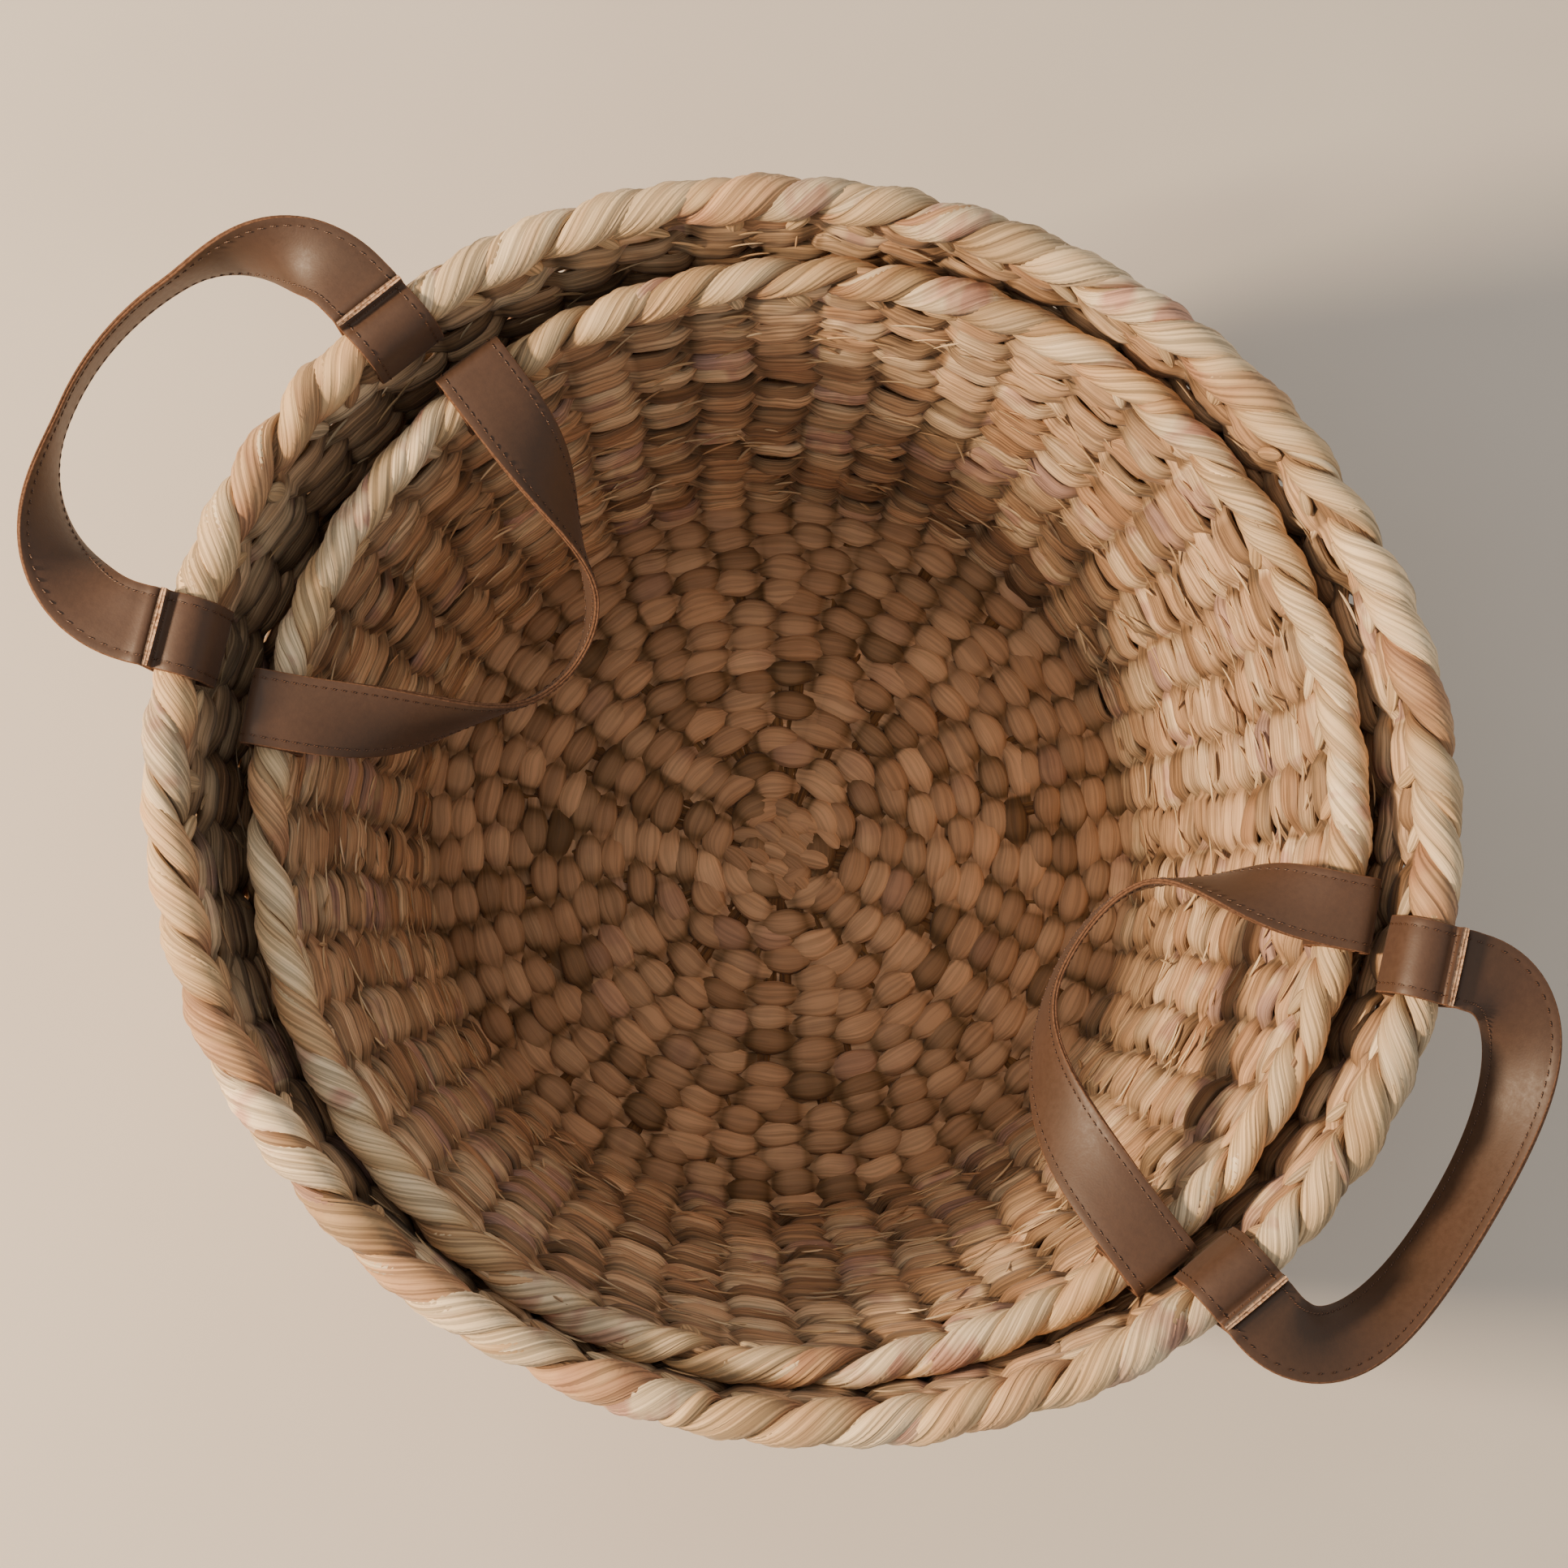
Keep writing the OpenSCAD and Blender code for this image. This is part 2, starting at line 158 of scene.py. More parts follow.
@dataclass(frozen=True)
class PlantFibre:
    """Dried plant leaf, twisted or plaited by hand.

    The leaf is matt with a faint satin shine, streaked along its length by its veins and
    pleats, and no two leaves have the same colour. Shade is painted into the pleats' creases
    and, through the tone attribute, into the hollows and along the edges of the strands.
    """

    name: str
    colours: Tuple[Tuple[float, str], ...]
    shadow: str
    vein: float = 1.2 * MM
    streak_length: float = 60 * MM
    crease_depth: float = 0.6 * MM
    pleat: float = 0.45
    contrast: float = 1.0
    roughness: float = 0.62

    def build(self) -> bpy.types.Material:
        """Makes the material. It reads the piece's UV map, whose U runs along a strand and
        V around it in metres, and its tint and tone attributes. Tone is random lightness with
        painted shade added in hollows; where it is low the leaf darkens and takes on the shadow colour.

        Returns:
            The finished material.
        """
        material, tree, shader = new_material(self.name)
        uv = add_node(tree, "UVMap", {"uv_map": "UVMap"}).outputs["UV"]
        tint = add_node(tree, "Attribute", {"attribute_name": "tint"}).outputs["Fac"]
        tone = add_node(tree, "Attribute", {"attribute_name": "tone"}).outputs["Fac"]
        stretched = add_node(
            tree,
            "Mapping",
            None,
            {"Vector": uv, "Scale": (1 / self.streak_length, 1 / self.vein, 1.0)},
        ).outputs["Vector"]
        pleated = add_node(
            tree,
            "Mapping",
            None,
            {"Vector": uv, "Scale": (0.6 / self.streak_length, 0.42 / self.vein, 1.0)},
        ).outputs["Vector"]
        veins = add_node(
            tree,
            "TexNoise",
            {"noise_dimensions": "2D"},
            {"Vector": stretched, "Scale": 1.0, "Detail": 3.0, "Roughness": 0.62, "Distortion": 0.2},
        ).outputs["Fac"]
        pleats = add_node(
            tree,
            "TexNoise",
            {"noise_dimensions": "2D"},
            {"Vector": pleated, "Scale": 1.0, "Detail": 1.5, "Roughness": 0.5, "Distortion": 0.6},
        ).outputs["Fac"]
        blotch = add_node(
            tree, "TexNoise", {"noise_dimensions": "2D"}, {"Vector": uv, "Scale": 55.0, "Detail": 2.0}
        ).outputs["Fac"]
        spread = add_node(
            tree, "MapRange", None, {0: blotch, 1: 0.3, 2: 0.7, 3: -0.12, 4: 0.12}
        ).outputs[0]
        chosen = add_node(
            tree, "Math", {"operation": "ADD", "use_clamp": True}, {0: tint, 1: spread}
        ).outputs[0]
        leaf = set_ramp(add_node(tree, "ValToRGB", None, {"Fac": chosen}), self.colours)
        vein_dark = add_node(
            tree,
            "MapRange",
            None,
            {0: veins, 1: 0.38, 2: 0.6, 3: 1 - 0.46 * self.contrast, 4: 1 + 0.1 * self.contrast},
        ).outputs[0]
        # Painted shade: where tone is low, in the hollows between strands, the shadow colour is mixed in.
        hollow_shade = add_node(
            tree, "MapRange", None, {0: tone, 1: 0.1, 2: 0.52, 3: 0.35, 4: 1.0}
        ).outputs[0]
        # Painted shade in the leaf's creases: the pleat streaks take on the shadow colour, and the same streaks
        # drive the bump.
        pleat_dark = add_node(
            tree, "MapRange", None, {0: pleats, 1: 0.26, 2: 0.46, 3: 0.0, 4: 1.0}
        ).outputs[0]
        pleat_share = add_node(
            tree, "MapRange", None, {0: pleat_dark, 1: 0.0, 2: 1.0, 3: 1 - self.pleat, 4: 1.0}
        ).outputs[0]
        # Painted shade: the share of leaf colour left where neither a crease nor a hollow is shaded.
        unshaded_share = add_node(
            tree, "Math", {"operation": "MULTIPLY"}, {0: pleat_share, 1: hollow_shade}
        ).outputs[0]
        # Painted shade: the leaf colour with the shadow colour mixed into its creases and hollows.
        leaf_with_shade = add_node(
            tree,
            "MixRGB",
            {"blend_type": "MIX"},
            {"Fac": unshaded_share, "Color1": linear(self.shadow), "Color2": leaf.outputs["Color"]},
        ).outputs["Color"]
        # Painted shade: low tone darkens the leaf in hollows and along strand edges; the random part of tone
        # lightens or darkens whole stitches.
        light = add_node(tree, "MapRange", None, {0: tone, 1: 0.0, 2: 1.0, 3: 0.42, 4: 1.3}).outputs[0]
        value = add_node(tree, "Math", {"operation": "MULTIPLY"}, {0: vein_dark, 1: light}).outputs[0]
        shaded = add_node(
            tree,
            "VectorMath",
            {"operation": "SCALE"},
            {0: leaf_with_shade, "Scale": value},
        ).outputs["Vector"]
        tree.links.new(shaded, shader.inputs["Base Color"])
        height = add_node(tree, "Math", {"operation": "MULTIPLY"}, {0: pleat_dark, 1: 0.7}).outputs[0]
        height = add_node(
            tree, "Math", {"operation": "MULTIPLY_ADD"}, {0: veins, 1: 0.6, 2: height}
        ).outputs[0]
        bump = add_node(
            tree, "Bump", None, {"Height": height, "Strength": 0.75, "Distance": self.crease_depth}
        )
        tree.links.new(bump.outputs["Normal"], shader.inputs["Normal"])
        shader.inputs["Roughness"].default_value = self.roughness
        shader.inputs["Specular IOR Level"].default_value = 0.32
        shader.inputs["Sheen Weight"].default_value = 0.08
        return material


@dataclass(frozen=True)
class Leather:
    """Smooth chrome-tanned cowhide with a finished grain: fine pores and a satin shine."""

    name: str
    colour: str
    worn: str
    pore: float = 0.9 * MM
    roughness: float = 0.5

    def build(self) -> bpy.types.Material:
        """Makes the material, patterned in Object coordinates.

        Returns:
            The finished material.
        """
        material, tree, shader = new_material(self.name)
        place = add_node(tree, "TexCoord").outputs["Object"]
        pores = add_node(
            tree, "TexVoronoi", {"feature": "F1"}, {"Vector": place, "Scale": 1 / self.pore}
        ).outputs["Distance"]
        grain = add_node(
            tree, "TexNoise", None, {"Vector": place, "Scale": 420.0, "Detail": 4.0, "Roughness": 0.6}
        ).outputs["Fac"]
        cloud = add_node(
            tree, "TexNoise", None, {"Vector": place, "Scale": 28.0, "Detail": 3.0}
        ).outputs["Fac"]
        mixed = add_node(
            tree, "MapRange", None, {0: cloud, 1: 0.35, 2: 0.7, 3: 0.0, 4: 0.55}
        ).outputs[0]
        colour = add_node(
            tree,
            "MixRGB",
            {"blend_type": "MIX"},
            {"Fac": mixed, "Color1": linear(self.colour), "Color2": linear(self.worn)},
        ).outputs["Color"]
        shade = add_node(tree, "MapRange", None, {0: grain, 1: 0.3, 2: 0.7, 3: 0.9, 4: 1.06}).outputs[0]
        shaded = add_node(
            tree, "VectorMath", {"operation": "SCALE"}, {0: colour, "Scale": shade}
        ).outputs["Vector"]
        tree.links.new(shaded, shader.inputs["Base Color"])
        height = add_node(
            tree, "Math", {"operation": "MULTIPLY_ADD"}, {0: pores, 1: 0.5, 2: grain}
        ).outputs[0]
        bump = add_node(
            tree, "Bump", None, {"Height": height, "Strength": 0.16, "Distance": 0.25 * MM}
        )
        tree.links.new(bump.outputs["Normal"], shader.inputs["Normal"])
        rough = add_node(
            tree,
            "MapRange",
            None,
            {0: grain, 1: 0.3, 2: 0.7, 3: self.roughness - 0.04, 4: self.roughness + 0.08},
        ).outputs[0]
        tree.links.new(rough, shader.inputs["Roughness"])
        shader.inputs["Specular IOR Level"].default_value = 0.46
        shader.inputs["Sheen Weight"].default_value = 0.06
        return material


@dataclass(frozen=True)
class RawEdge:
    """Cut leather edge: pale, matt, uncoated corium fibres that fuzz a little."""

    name: str
    colour: str
    dark: str

    def build(self) -> bpy.types.Material:
        """Makes the material, patterned in Object coordinates.

        Returns:
            The finished material.
        """
        material, tree, shader = new_material(self.name)
        place = add_node(tree, "TexCoord").outputs["Object"]
        fuzz = add_node(
            tree, "TexNoise", None, {"Vector": place, "Scale": 900.0, "Detail": 3.0}
        ).outputs["Fac"]
        ramp = add_node(tree, "ValToRGB", None, {"Fac": fuzz})
        set_ramp(ramp, ((0.35, self.dark), (0.62, self.colour)))
        tree.links.new(ramp.outputs["Color"], shader.inputs["Base Color"])
        bump = add_node(tree, "Bump", None, {"Height": fuzz, "Strength": 0.6, "Distance": 0.3 * MM})
        tree.links.new(bump.outputs["Normal"], shader.inputs["Normal"])
        shader.inputs["Roughness"].default_value = 0.85
        shader.inputs["Specular IOR Level"].default_value = 0.2
        return material


@dataclass(frozen=True)
class WaxedThread:
    """Waxed polyester sewing thread: dark, with a light glint where the twist catches light."""

    name: str
    colour: str
    glint: str
    twist: float = 0.9 * MM

    def build(self) -> bpy.types.Material:
        """Makes the material, with its twist drawn along the stitch in the UV map.

        Returns:
            The finished material.
        """
        material, tree, shader = new_material(self.name)
        uv = add_node(tree, "UVMap", {"uv_map": "UVMap"}).outputs["UV"]
        turned = add_node(
            tree, "Mapping", None, {"Vector": uv, "Rotation": (0.0, 0.0, math.radians(35))}
        ).outputs["Vector"]
        strands = add_node(
            tree,
            "TexWave",
            {"bands_direction": "X"},
            {"Vector": turned, "Scale": 0.3 / self.twist, "Distortion": 1.0},
        ).outputs["Fac"]
        ramp = add_node(tree, "ValToRGB", None, {"Fac": strands})
        set_ramp(ramp, ((0.45, self.colour), (0.95, self.glint)))
        tree.links.new(ramp.outputs["Color"], shader.inputs["Base Color"])
        shader.inputs["Roughness"].default_value = 0.5
        return material


STRAW = (
    (0.0, "#b48a66"),
    (0.3, "#c8a07a"),
    (0.55, "#d4b08a"),
    (0.78, "#e2c6a0"),
    (0.9, "#c69f88"),
    (1.0, "#b39183"),
)
WEFT_FIBRE = PlantFibre("water_hyacinth_weft", STRAW, "#8f6c46", vein=0.95 * MM, pleat=0.34)
BASE_FIBRE = PlantFibre(
    "water_hyacinth_base",
    ((0.0, "#b48c68"), (0.4, "#c49c78"), (0.75, "#cfa984"), (1.0, "#b58f74")),
    "#80602f",
    vein=0.9 * MM,
    crease_depth=0.4 * MM,
    pleat=0.12,
    contrast=0.5,
)
BORDER_FIBRE = PlantFibre(
    "water_hyacinth_border",
    (
        (0.0, "#b98a68"),
        (0.16, "#cba077"),
        (0.4, "#dab88a"),
        (0.7, "#e6cba2"),
        (0.9, "#ead4b0"),
        (1.0, "#c69a84"),
    ),
    "#a67a50",
    vein=0.85 * MM,
    crease_depth=0.9 * MM,
    pleat=0.3,
    streak_length=110 * MM,
)
STAKE_FIBRE = PlantFibre(
    "water_hyacinth_stake",
    ((0.0, "#96642c"), (0.5, "#ab7a3c"), (1.0, "#b98d55")),
    "#6b441f",
    vein=1.4 * MM,
)
GRAIN_LEATHER = Leather("cowhide_grain", "#4c3627", "#573d2d")
BACK_LEATHER = Leather("cowhide_back_ply", "#4a3526", "#553b2c")
LONG_EDGE = RawEdge("cowhide_burnished_edge", "#7c5a44", "#5c402e")
CUT_EDGE = RawEdge("cowhide_cut_edge", "#cfab8c", "#86624a")
SEWING_THREAD = WaxedThread("waxed_thread", "#301d13", "#73513a")


# --- Meshes ----------------------------------------------------------------------------


def smooth_step(t: Points) -> Points:
    """Eases from 0 to 1: t squared times (3 - 2 t)."""
    t = np.clip(t, 0, 1)
    return t * t * (3 - 2 * t)


def stacked(x: Points, y: Points, z: Points) -> Points:
    """Joins three coordinate arrays into one array of points."""
    return np.stack(np.broadcast_arrays(x, y, z), axis=-1)


def polar(radius: Points, angle: Points, z: Points) -> Points:
    """Points at a radius and an angle round the Z axis, at height z."""
    return stacked(radius * np.cos(angle), radius * np.sin(angle), z)


@dataclass
class GridMesh:
    """Tubes and patches worked out on grids, put together into one mesh.

    Every block of points is (count, along, around, 3). Tubes are closed around. They are
    closed along as rings, or get a flat cap at each end.
    """

    points: List[Points] = field(default_factory=list)
    quads: List[Points] = field(default_factory=list)
    caps: List[Points] = field(default_factory=list)
    uvs: List[Points] = field(default_factory=list)
    cap_uvs: List[Points] = field(default_factory=list)
    tints: List[Points] = field(default_factory=list)
    tones: List[Points] = field(default_factory=list)
    parts: List[Points] = field(default_factory=list)
    total: int = 0

    def add(
        self,
        block: Points,
        u: Points,
        v: Points,
        tint: Points,
        tone: Points,
        ring: bool = False,
        part: Optional[Points] = None,
        flip: bool = False,
    ) -> None:
        """Adds a block of tubes.

        Args:
            block: Points, shaped (count, along, around, 3).
            u: Length along, shaped (count, along + 1) for a ring, else (count, along).
            v: Length around, shaped (around + 1,).
            tint: Which colour, shaped so that it broadcasts to (count, along, around).
            tone: How light, shaped like tint. It holds random lightness and, where a piece sets it so, painted
                shade.
            ring: Whether the tubes close on themselves.
            part: Material number of each face around, shaped (around,).
            flip: Whether to turn the faces round.
        """
        count, along, around, _ = block.shape
        numbers = self.total + np.arange(count * along * around).reshape(count, along, around)
        self.total += numbers.size
        nearer = numbers if ring else numbers[:, :-1]
        further = np.roll(numbers, -1, axis=1) if ring else numbers[:, 1:]
        corners = [nearer, further, np.roll(further, -1, axis=2), np.roll(nearer, -1, axis=2)]
        near_u = u[:, :-1, None]
        far_u = u[:, 1:, None]
        u_corners = [near_u, far_u, far_u, near_u]
        v_corners = [v[:-1], v[:-1], v[1:], v[1:]]
        order = [3, 2, 1, 0] if flip else [0, 1, 2, 3]
        self.quads.append(np.stack([corners[k] for k in order], axis=-1).reshape(-1, 4))
        pairs = [
            np.stack(
                np.broadcast_arrays(u_corners[k], np.broadcast_to(v_corners[k], nearer.shape)),
                axis=-1,
            )
            for k in order
        ]
        self.uvs.append(np.stack(pairs, axis=-2).reshape(-1, 4, 2))
        numbers_around = np.zeros(around, np.int32) if part is None else part
        self.parts.append(np.broadcast_to(numbers_around, nearer.shape).reshape(-1))
        if not ring:
            ends = np.concatenate([numbers[:, 0, ::-1], numbers[:, -1]])
            self.caps.append(ends[:, ::-1] if flip else ends)
            flat = np.broadcast_to(v[:-1], ends.shape)
            self.cap_uvs.append(np.stack([0.3 * flat, flat], axis=-1))
        self.points.append(block.reshape(-1, 3))
        self.tints.append(np.broadcast_to(tint, (count, along, around)).reshape(-1))
        self.tones.append(np.broadcast_to(tone, (count, along, around)).reshape(-1))

    def build(self, name: str, materials: Sequence[bpy.types.Material]) -> bpy.types.Object:
        """Makes the object.

        Args:
            name: The piece's name.
            materials: Its materials. Caps take the last one.

        Returns:
            The object, at the origin, with its place in its mesh.
        """
        points = np.concatenate(self.points).astype(np.float32)
        quads = np.concatenate(self.quads)
        loops = [quads.ravel()]
        sizes = [np.full(len(quads), 4)]
        uvs = [np.concatenate(self.uvs).reshape(-1, 2)]
        parts = [np.concatenate(self.parts)]
        for ends, end_uvs in zip(self.caps, self.cap_uvs):
            loops.append(ends.ravel())
            sizes.append(np.full(len(ends), ends.shape[1]))
            uvs.append(end_uvs.reshape(-1, 2))
            parts.append(np.full(len(ends), len(materials) - 1))
        loops, sizes = np.concatenate(loops), np.concatenate(sizes)
        mesh = bpy.data.meshes.new(name)
        mesh.vertices.add(len(points))
        mesh.vertices.foreach_set("co", points.ravel())
        mesh.loops.add(len(loops))
        mesh.loops.foreach_set("vertex_index", loops.astype(np.int32))
        mesh.polygons.add(len(sizes))
        starts = np.concatenate([[0], np.cumsum(sizes)[:-1]])
        mesh.polygons.foreach_set("loop_start", starts.astype(np.int32))
        mesh.polygons.foreach_set("loop_total", sizes.astype(np.int32))
        mesh.polygons.foreach_set("use_smooth", np.ones(len(sizes), bool))
        mesh.polygons.foreach_set("material_index", np.concatenate(parts).astype(np.int32))
        layer = mesh.uv_layers.new(name="UVMap")
        layer.data.foreach_set("uv", np.concatenate(uvs).astype(np.float32).ravel())
        for label, values in (("tint", self.tints), ("tone", self.tones)):
            attribute = mesh.attributes.new(label, "FLOAT", "POINT")
            attribute.data.foreach_set("value", np.concatenate(values).astype(np.float32))
        for material in materials:
            mesh.materials.append(material)
        mesh.update()
        mesh.validate()
        piece = bpy.data.objects.new(name, mesh)
        bpy.context.scene.collection.objects.link(piece)
        LOG.info("%s: %d points, %d faces", name, len(points), len(sizes))
        return piece


# --- The baskets' shape ----------------------------------------------------------------


@dataclass(frozen=True)
class BasketForm:
    """The surface that a basket's strands follow, worked out from its CAD nodes.

    A place on the wall is an angle, a length up the wall from the floor's top, and a lift
    square to the wall, which is positive outwards.
    """

    name: str
    floor_z: float
    floor_top: float
    rim_z: float
    rim_r: float
    base_r: float
    flare: float
    border_w: float
    border_h: float
    wall_t: float
    stakes: int
    oval: float
    oval_angle: float
    lean: Tuple[float, float]
    loop_angle: float

    @classmethod
    def from_frame(
        cls,
        name: str,
        border_w: float,
        border_h: float,
        stakes: int,
        oval: float,
        oval_angle: float,
        lean: Tuple[float, float],
        loop_angle: float,
        wall_t: float = 12 * MM,
    ) -> "BasketForm":
        """Reads a basket's rim and base from the frame.

        Args:
            name: "large" or "small", which starts its nodes' names.
            border_w: Width of the rim border.
            border_h: Depth of the rim border.
            stakes: Number of stakes.
            oval: How far the soft rim has gone out of round.
            oval_angle: Angle of the rim's long axis.
            lean: How far the rim has settled sideways, along X and Y.
            loop_angle: Angle from each handle's middle to its rim loops.
            wall_t: Thickness of the wall.

        Returns:
            The basket's form.
        """
        border_low, border_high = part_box(f"{name}_rim_border")
        base_low, base_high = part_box(f"{name}_base_weave")
        rim_r = border_high.x - border_w / 2
        rise = border_high.z - border_w / 2 - base_high.z
        flare = 0.0
        for _ in range(6):
            base_r = base_high.x - wall_t / 2 / math.cos(flare)
            flare = math.atan((rim_r - base_r) / rise)
        return cls(
            name, base_low.z, base_high.z, border_high.z, rim_r, base_r, flare,
            border_w, border_h, wall_t, stakes, oval, oval_angle, lean, loop_angle,
        )

    @property
    def border_z(self) -> float:
        """Height of the middle of the border's round top."""
        return self.rim_z - self.border_w / 2

    @property
    def wall_length(self) -> float:
        """Length up the wall from the floor's top to the foot of the border."""
        to_middle = (self.border_z - self.floor_top) / math.cos(self.flare)
        return to_middle - (self.border_h - self.border_w / 2)

    def settle(self, points: Points) -> Points:
        """Lets the soft basket go a little out of round and lean, more so towards its rim.

        The radius grows by the oval times the cosine of twice the angle from the long
        axis, and both it and the lean grow with the height's share of the rim's height.
        """
        share = np.clip((points[..., 2] - self.floor_z) / (self.rim_z - self.floor_z), 0, 1)
        angle = np.arctan2(points[..., 1], points[..., 0])
        grow = 1 + self.oval / self.rim_r * share * np.cos(2 * (angle - self.oval_angle))
        moved = points.copy()
        moved[..., 0] = points[..., 0] * grow + self.lean[0] * share
        moved[..., 1] = points[..., 1] * grow + self.lean[1] * share
        return moved

    def wall(self, angle: Points, along: Points, lift: Points) -> Points:
        """Points on the wall: the radius grows with the sine of the flare times the length
        up the wall, and lift moves them square to it. What would reach below the basket is
        pressed flat, as on a floor."""
        radius = self.base_r + along * math.sin(self.flare) + lift * math.cos(self.flare)
        z = self.floor_top + along * math.cos(self.flare) - lift * math.sin(self.flare)
        z = np.maximum(z, self.floor_z + 0.3 * MM)
        return self.settle(polar(radius, angle, z))

    def base(self, angle: Points, along: Points, lift: Points) -> Points:
        """Points on the base: along is the radius, and lift is positive downwards."""
        middle = (self.floor_z + self.floor_top) / 2
        return self.settle(polar(along, angle, middle - lift))

    def flat(self, x: Points, y: Points, lift: Points) -> Points:
        """Points on the base by X and Y, with lift positive downwards."""
        middle = (self.floor_z + self.floor_top) / 2
        return self.settle(stacked(x, y, middle - lift))

    def border(self, angle: Points, round_it: Points, radius: Points) -> Points:
        """Points round the border's middle line: round_it is 0 at its outer side, a quarter
        turn at its top and half a turn at its inner side."""
        radius = self.gripped(angle, radius)
        across = radius * np.cos(round_it)
        up = radius * np.sin(round_it)
        return self.settle(polar(self.rim_r + across, angle, self.border_z + up))

    def gripped(self, angle: Points, radius: Points) -> Points:
        """Draws the border in where a strap holds it: within a strap's width of each loop,
        a radius larger than the loop's inside is cut to it."""
        near = np.abs(np.mod(angle + np.pi / 2, np.pi) - np.pi / 2) - self.loop_angle
        hold = smooth_step(1.6 - np.abs(near) * self.rim_r / (17 * MM))
        inside = self.border_w / 2 + 0.3 * MM
        return radius - hold * np.maximum(radius - inside, 0)

    def border_frame(self, angle: float) -> Tuple[Points, Points, Points, Points]:
        """The border's own frame at an angle.

        Args:
            angle: Angle round the basket.

        Returns:
            Its middle, the direction square to the wall, the one up the wall, and the one
            along the rim.
        """
        out = np.array([math.cos(angle), math.sin(angle), 0.0])
        up = np.array([0.0, 0.0, 1.0])
        middle = out * self.rim_r + up * self.border_z
        square = out * math.cos(self.flare) - up * math.sin(self.flare)
        rising = out * math.sin(self.flare) + up * math.cos(self.flare)
        return middle, square, rising, np.cross(up, out)


# --- Weave -----------------------------------------------------------------------------


@dataclass(frozen=True)
class WeaveRule:
    """How one stretch of plain weave is made.

    Each row is one strand that passes in front of every second stake and behind the
    others, and the next row does the opposite.
    """

    surface: Surface
    rows: Points
    stakes: int
    pitch: float
    swing: float
    half_thick: float
    waist: float = 0.46
    fullness: float = 0.98
    samples: int = 9
    around: int = 10
    skew: float = 0.0
    sag: float = 0.0
    loose: float = 1.0
    first_row: int = 0


def weave(mesh: GridMesh, rule: WeaveRule, dice: np.random.Generator) -> None:
    """Adds the strands of one stretch of weave to a mesh.

    A strand's lift is its swing times a squared-off cosine of its place between stakes.
    Its width swells where it lies over or under a stake and narrows where it crosses
    the wall, and three soft lobes turn along it as its leaves twist.

    Args:
        mesh: Takes the strands.
        rule: The stretch of weave.
        dice: The random generator.
    """
    count, steps = len(rule.rows), rule.stakes * rule.samples
    step = np.arange(steps)
    angle = TAU * step / steps
    row = rule.first_row + np.arange(count)[:, None]
    shifted = 0.22 * rule.loose * dice.normal(size=(count, 1)) * smooth_step(np.abs(rule.rows[:, None]) / (40 * MM))
    phase = np.pi * (step / rule.samples - 0.5)[None, :] + np.pi * row + shifted
    wave = np.cos(phase)
    over = np.abs(wave)
    stitch = np.floor(step / rule.samples).astype(int)
    per = {
        key: dice.normal(size=(count, rule.stakes))[:, stitch]
        for key in ("shift", "width", "lift", "tilt", "tone")
    }
    ease = over**0.7
    low = rule.pitch * rule.waist
    high = rule.pitch * rule.fullness
    half_wide = low + (high - low) * over * (1 + 0.14 * rule.loose * per["width"])
    drift = sum(
        dice.normal(size=(count, 1)) * np.cos(k * angle + dice.uniform(0, TAU, (count, 1)))
        for k in (1, 2, 3)
    )
    along = rule.rows[:, None] + rule.pitch * (0.035 * drift + 0.12 * rule.loose * ease * per["shift"])
    slope = (rule.skew + 0.3 * rule.loose * per["tilt"]) * rule.pitch * 0.35
    along = along + slope * np.sin(phase) * wave - rule.sag * rule.pitch * over
    lift = rule.swing * np.tanh(1.7 * wave) / np.tanh(1.7) * (1 + 0.12 * rule.loose * per["lift"])
    turn = np.linspace(0, TAU, rule.around, endpoint=False)
    twist = 2.2 * angle[None, :] * rule.stakes / TAU + dice.uniform(0, TAU, (count, 1))
    lobes = 1 + 0.09 * np.cos(3 * turn + twist[..., None])
    thick = rule.half_thick * (0.92 + 0.2 * (1 - over))
    flat = np.sign(np.sin(turn)) * np.abs(np.sin(turn)) ** 0.9
    block = rule.surface(
        np.broadcast_to(angle[None, :, None], lobes.shape),
        along[..., None] + half_wide[..., None] * flat * lobes,
        lift[..., None] + thick[..., None] * np.cos(turn) * lobes,
    )
    reach = np.linalg.norm(block[:, 0, 0, :2], axis=-1)[:, None]
    u = reach * TAU * np.arange(steps + 1) / steps + dice.uniform(0, 9, (count, 1))
    v = np.linspace(0, 3.4 * rule.pitch, rule.around + 1) + dice.uniform(0, 3)
    leaf = dice.beta(2.6, 2.6, size=(count, rule.stakes // 2 + 1))[:, (stitch // 2)]
    strand = dice.normal(size=(count, 1)) * 0.1
    tint = np.clip(leaf + strand + 0.07 * per["tone"], 0, 1)
    # Painted shade: tone drops where the strand crosses between stakes and passes behind its neighbours, and along
    # its edges; the per-stitch part is random lightness.
    tone = 0.66 + 0.13 * per["shift"] + 0.1 * per["tone"] - 0.42 * (1 - over) ** 1.5
    tone = np.clip(tone[..., None] - 0.2 * np.sin(turn) ** 4, 0, 1)
    mesh.add(block, u, v, tint[..., None], tone, ring=True)


def radial_zones(inner: float, outer: float, pitch: float, widest: float) -> List[Tuple[Points, int]]:
    """Splits a round base into rings of rows, with more stakes further out.

    A stake is added wherever the stakes would come further apart than the widest gap.

    Args:
        inner: Radius of the first row.
        outer: Radius of the last row.
        pitch: Distance between rows.
        widest: The widest gap between two stakes.

    Returns:
        For each zone, its rows' radii and its even number of stakes.
    """
    radii = np.arange(inner, outer, pitch)
    zones: List[Tuple[Points, int]] = []
    start, stakes = 0, 6
    for number, radius in enumerate(radii):
        if TAU * radius / stakes > widest:
            zones.append((radii[start:number], stakes))
            start, stakes = number, 2 * round(TAU * radius / (0.84 * widest) / 2)
    zones.append((radii[start:], stakes))
    return [zone for zone in zones if len(zone[0])]


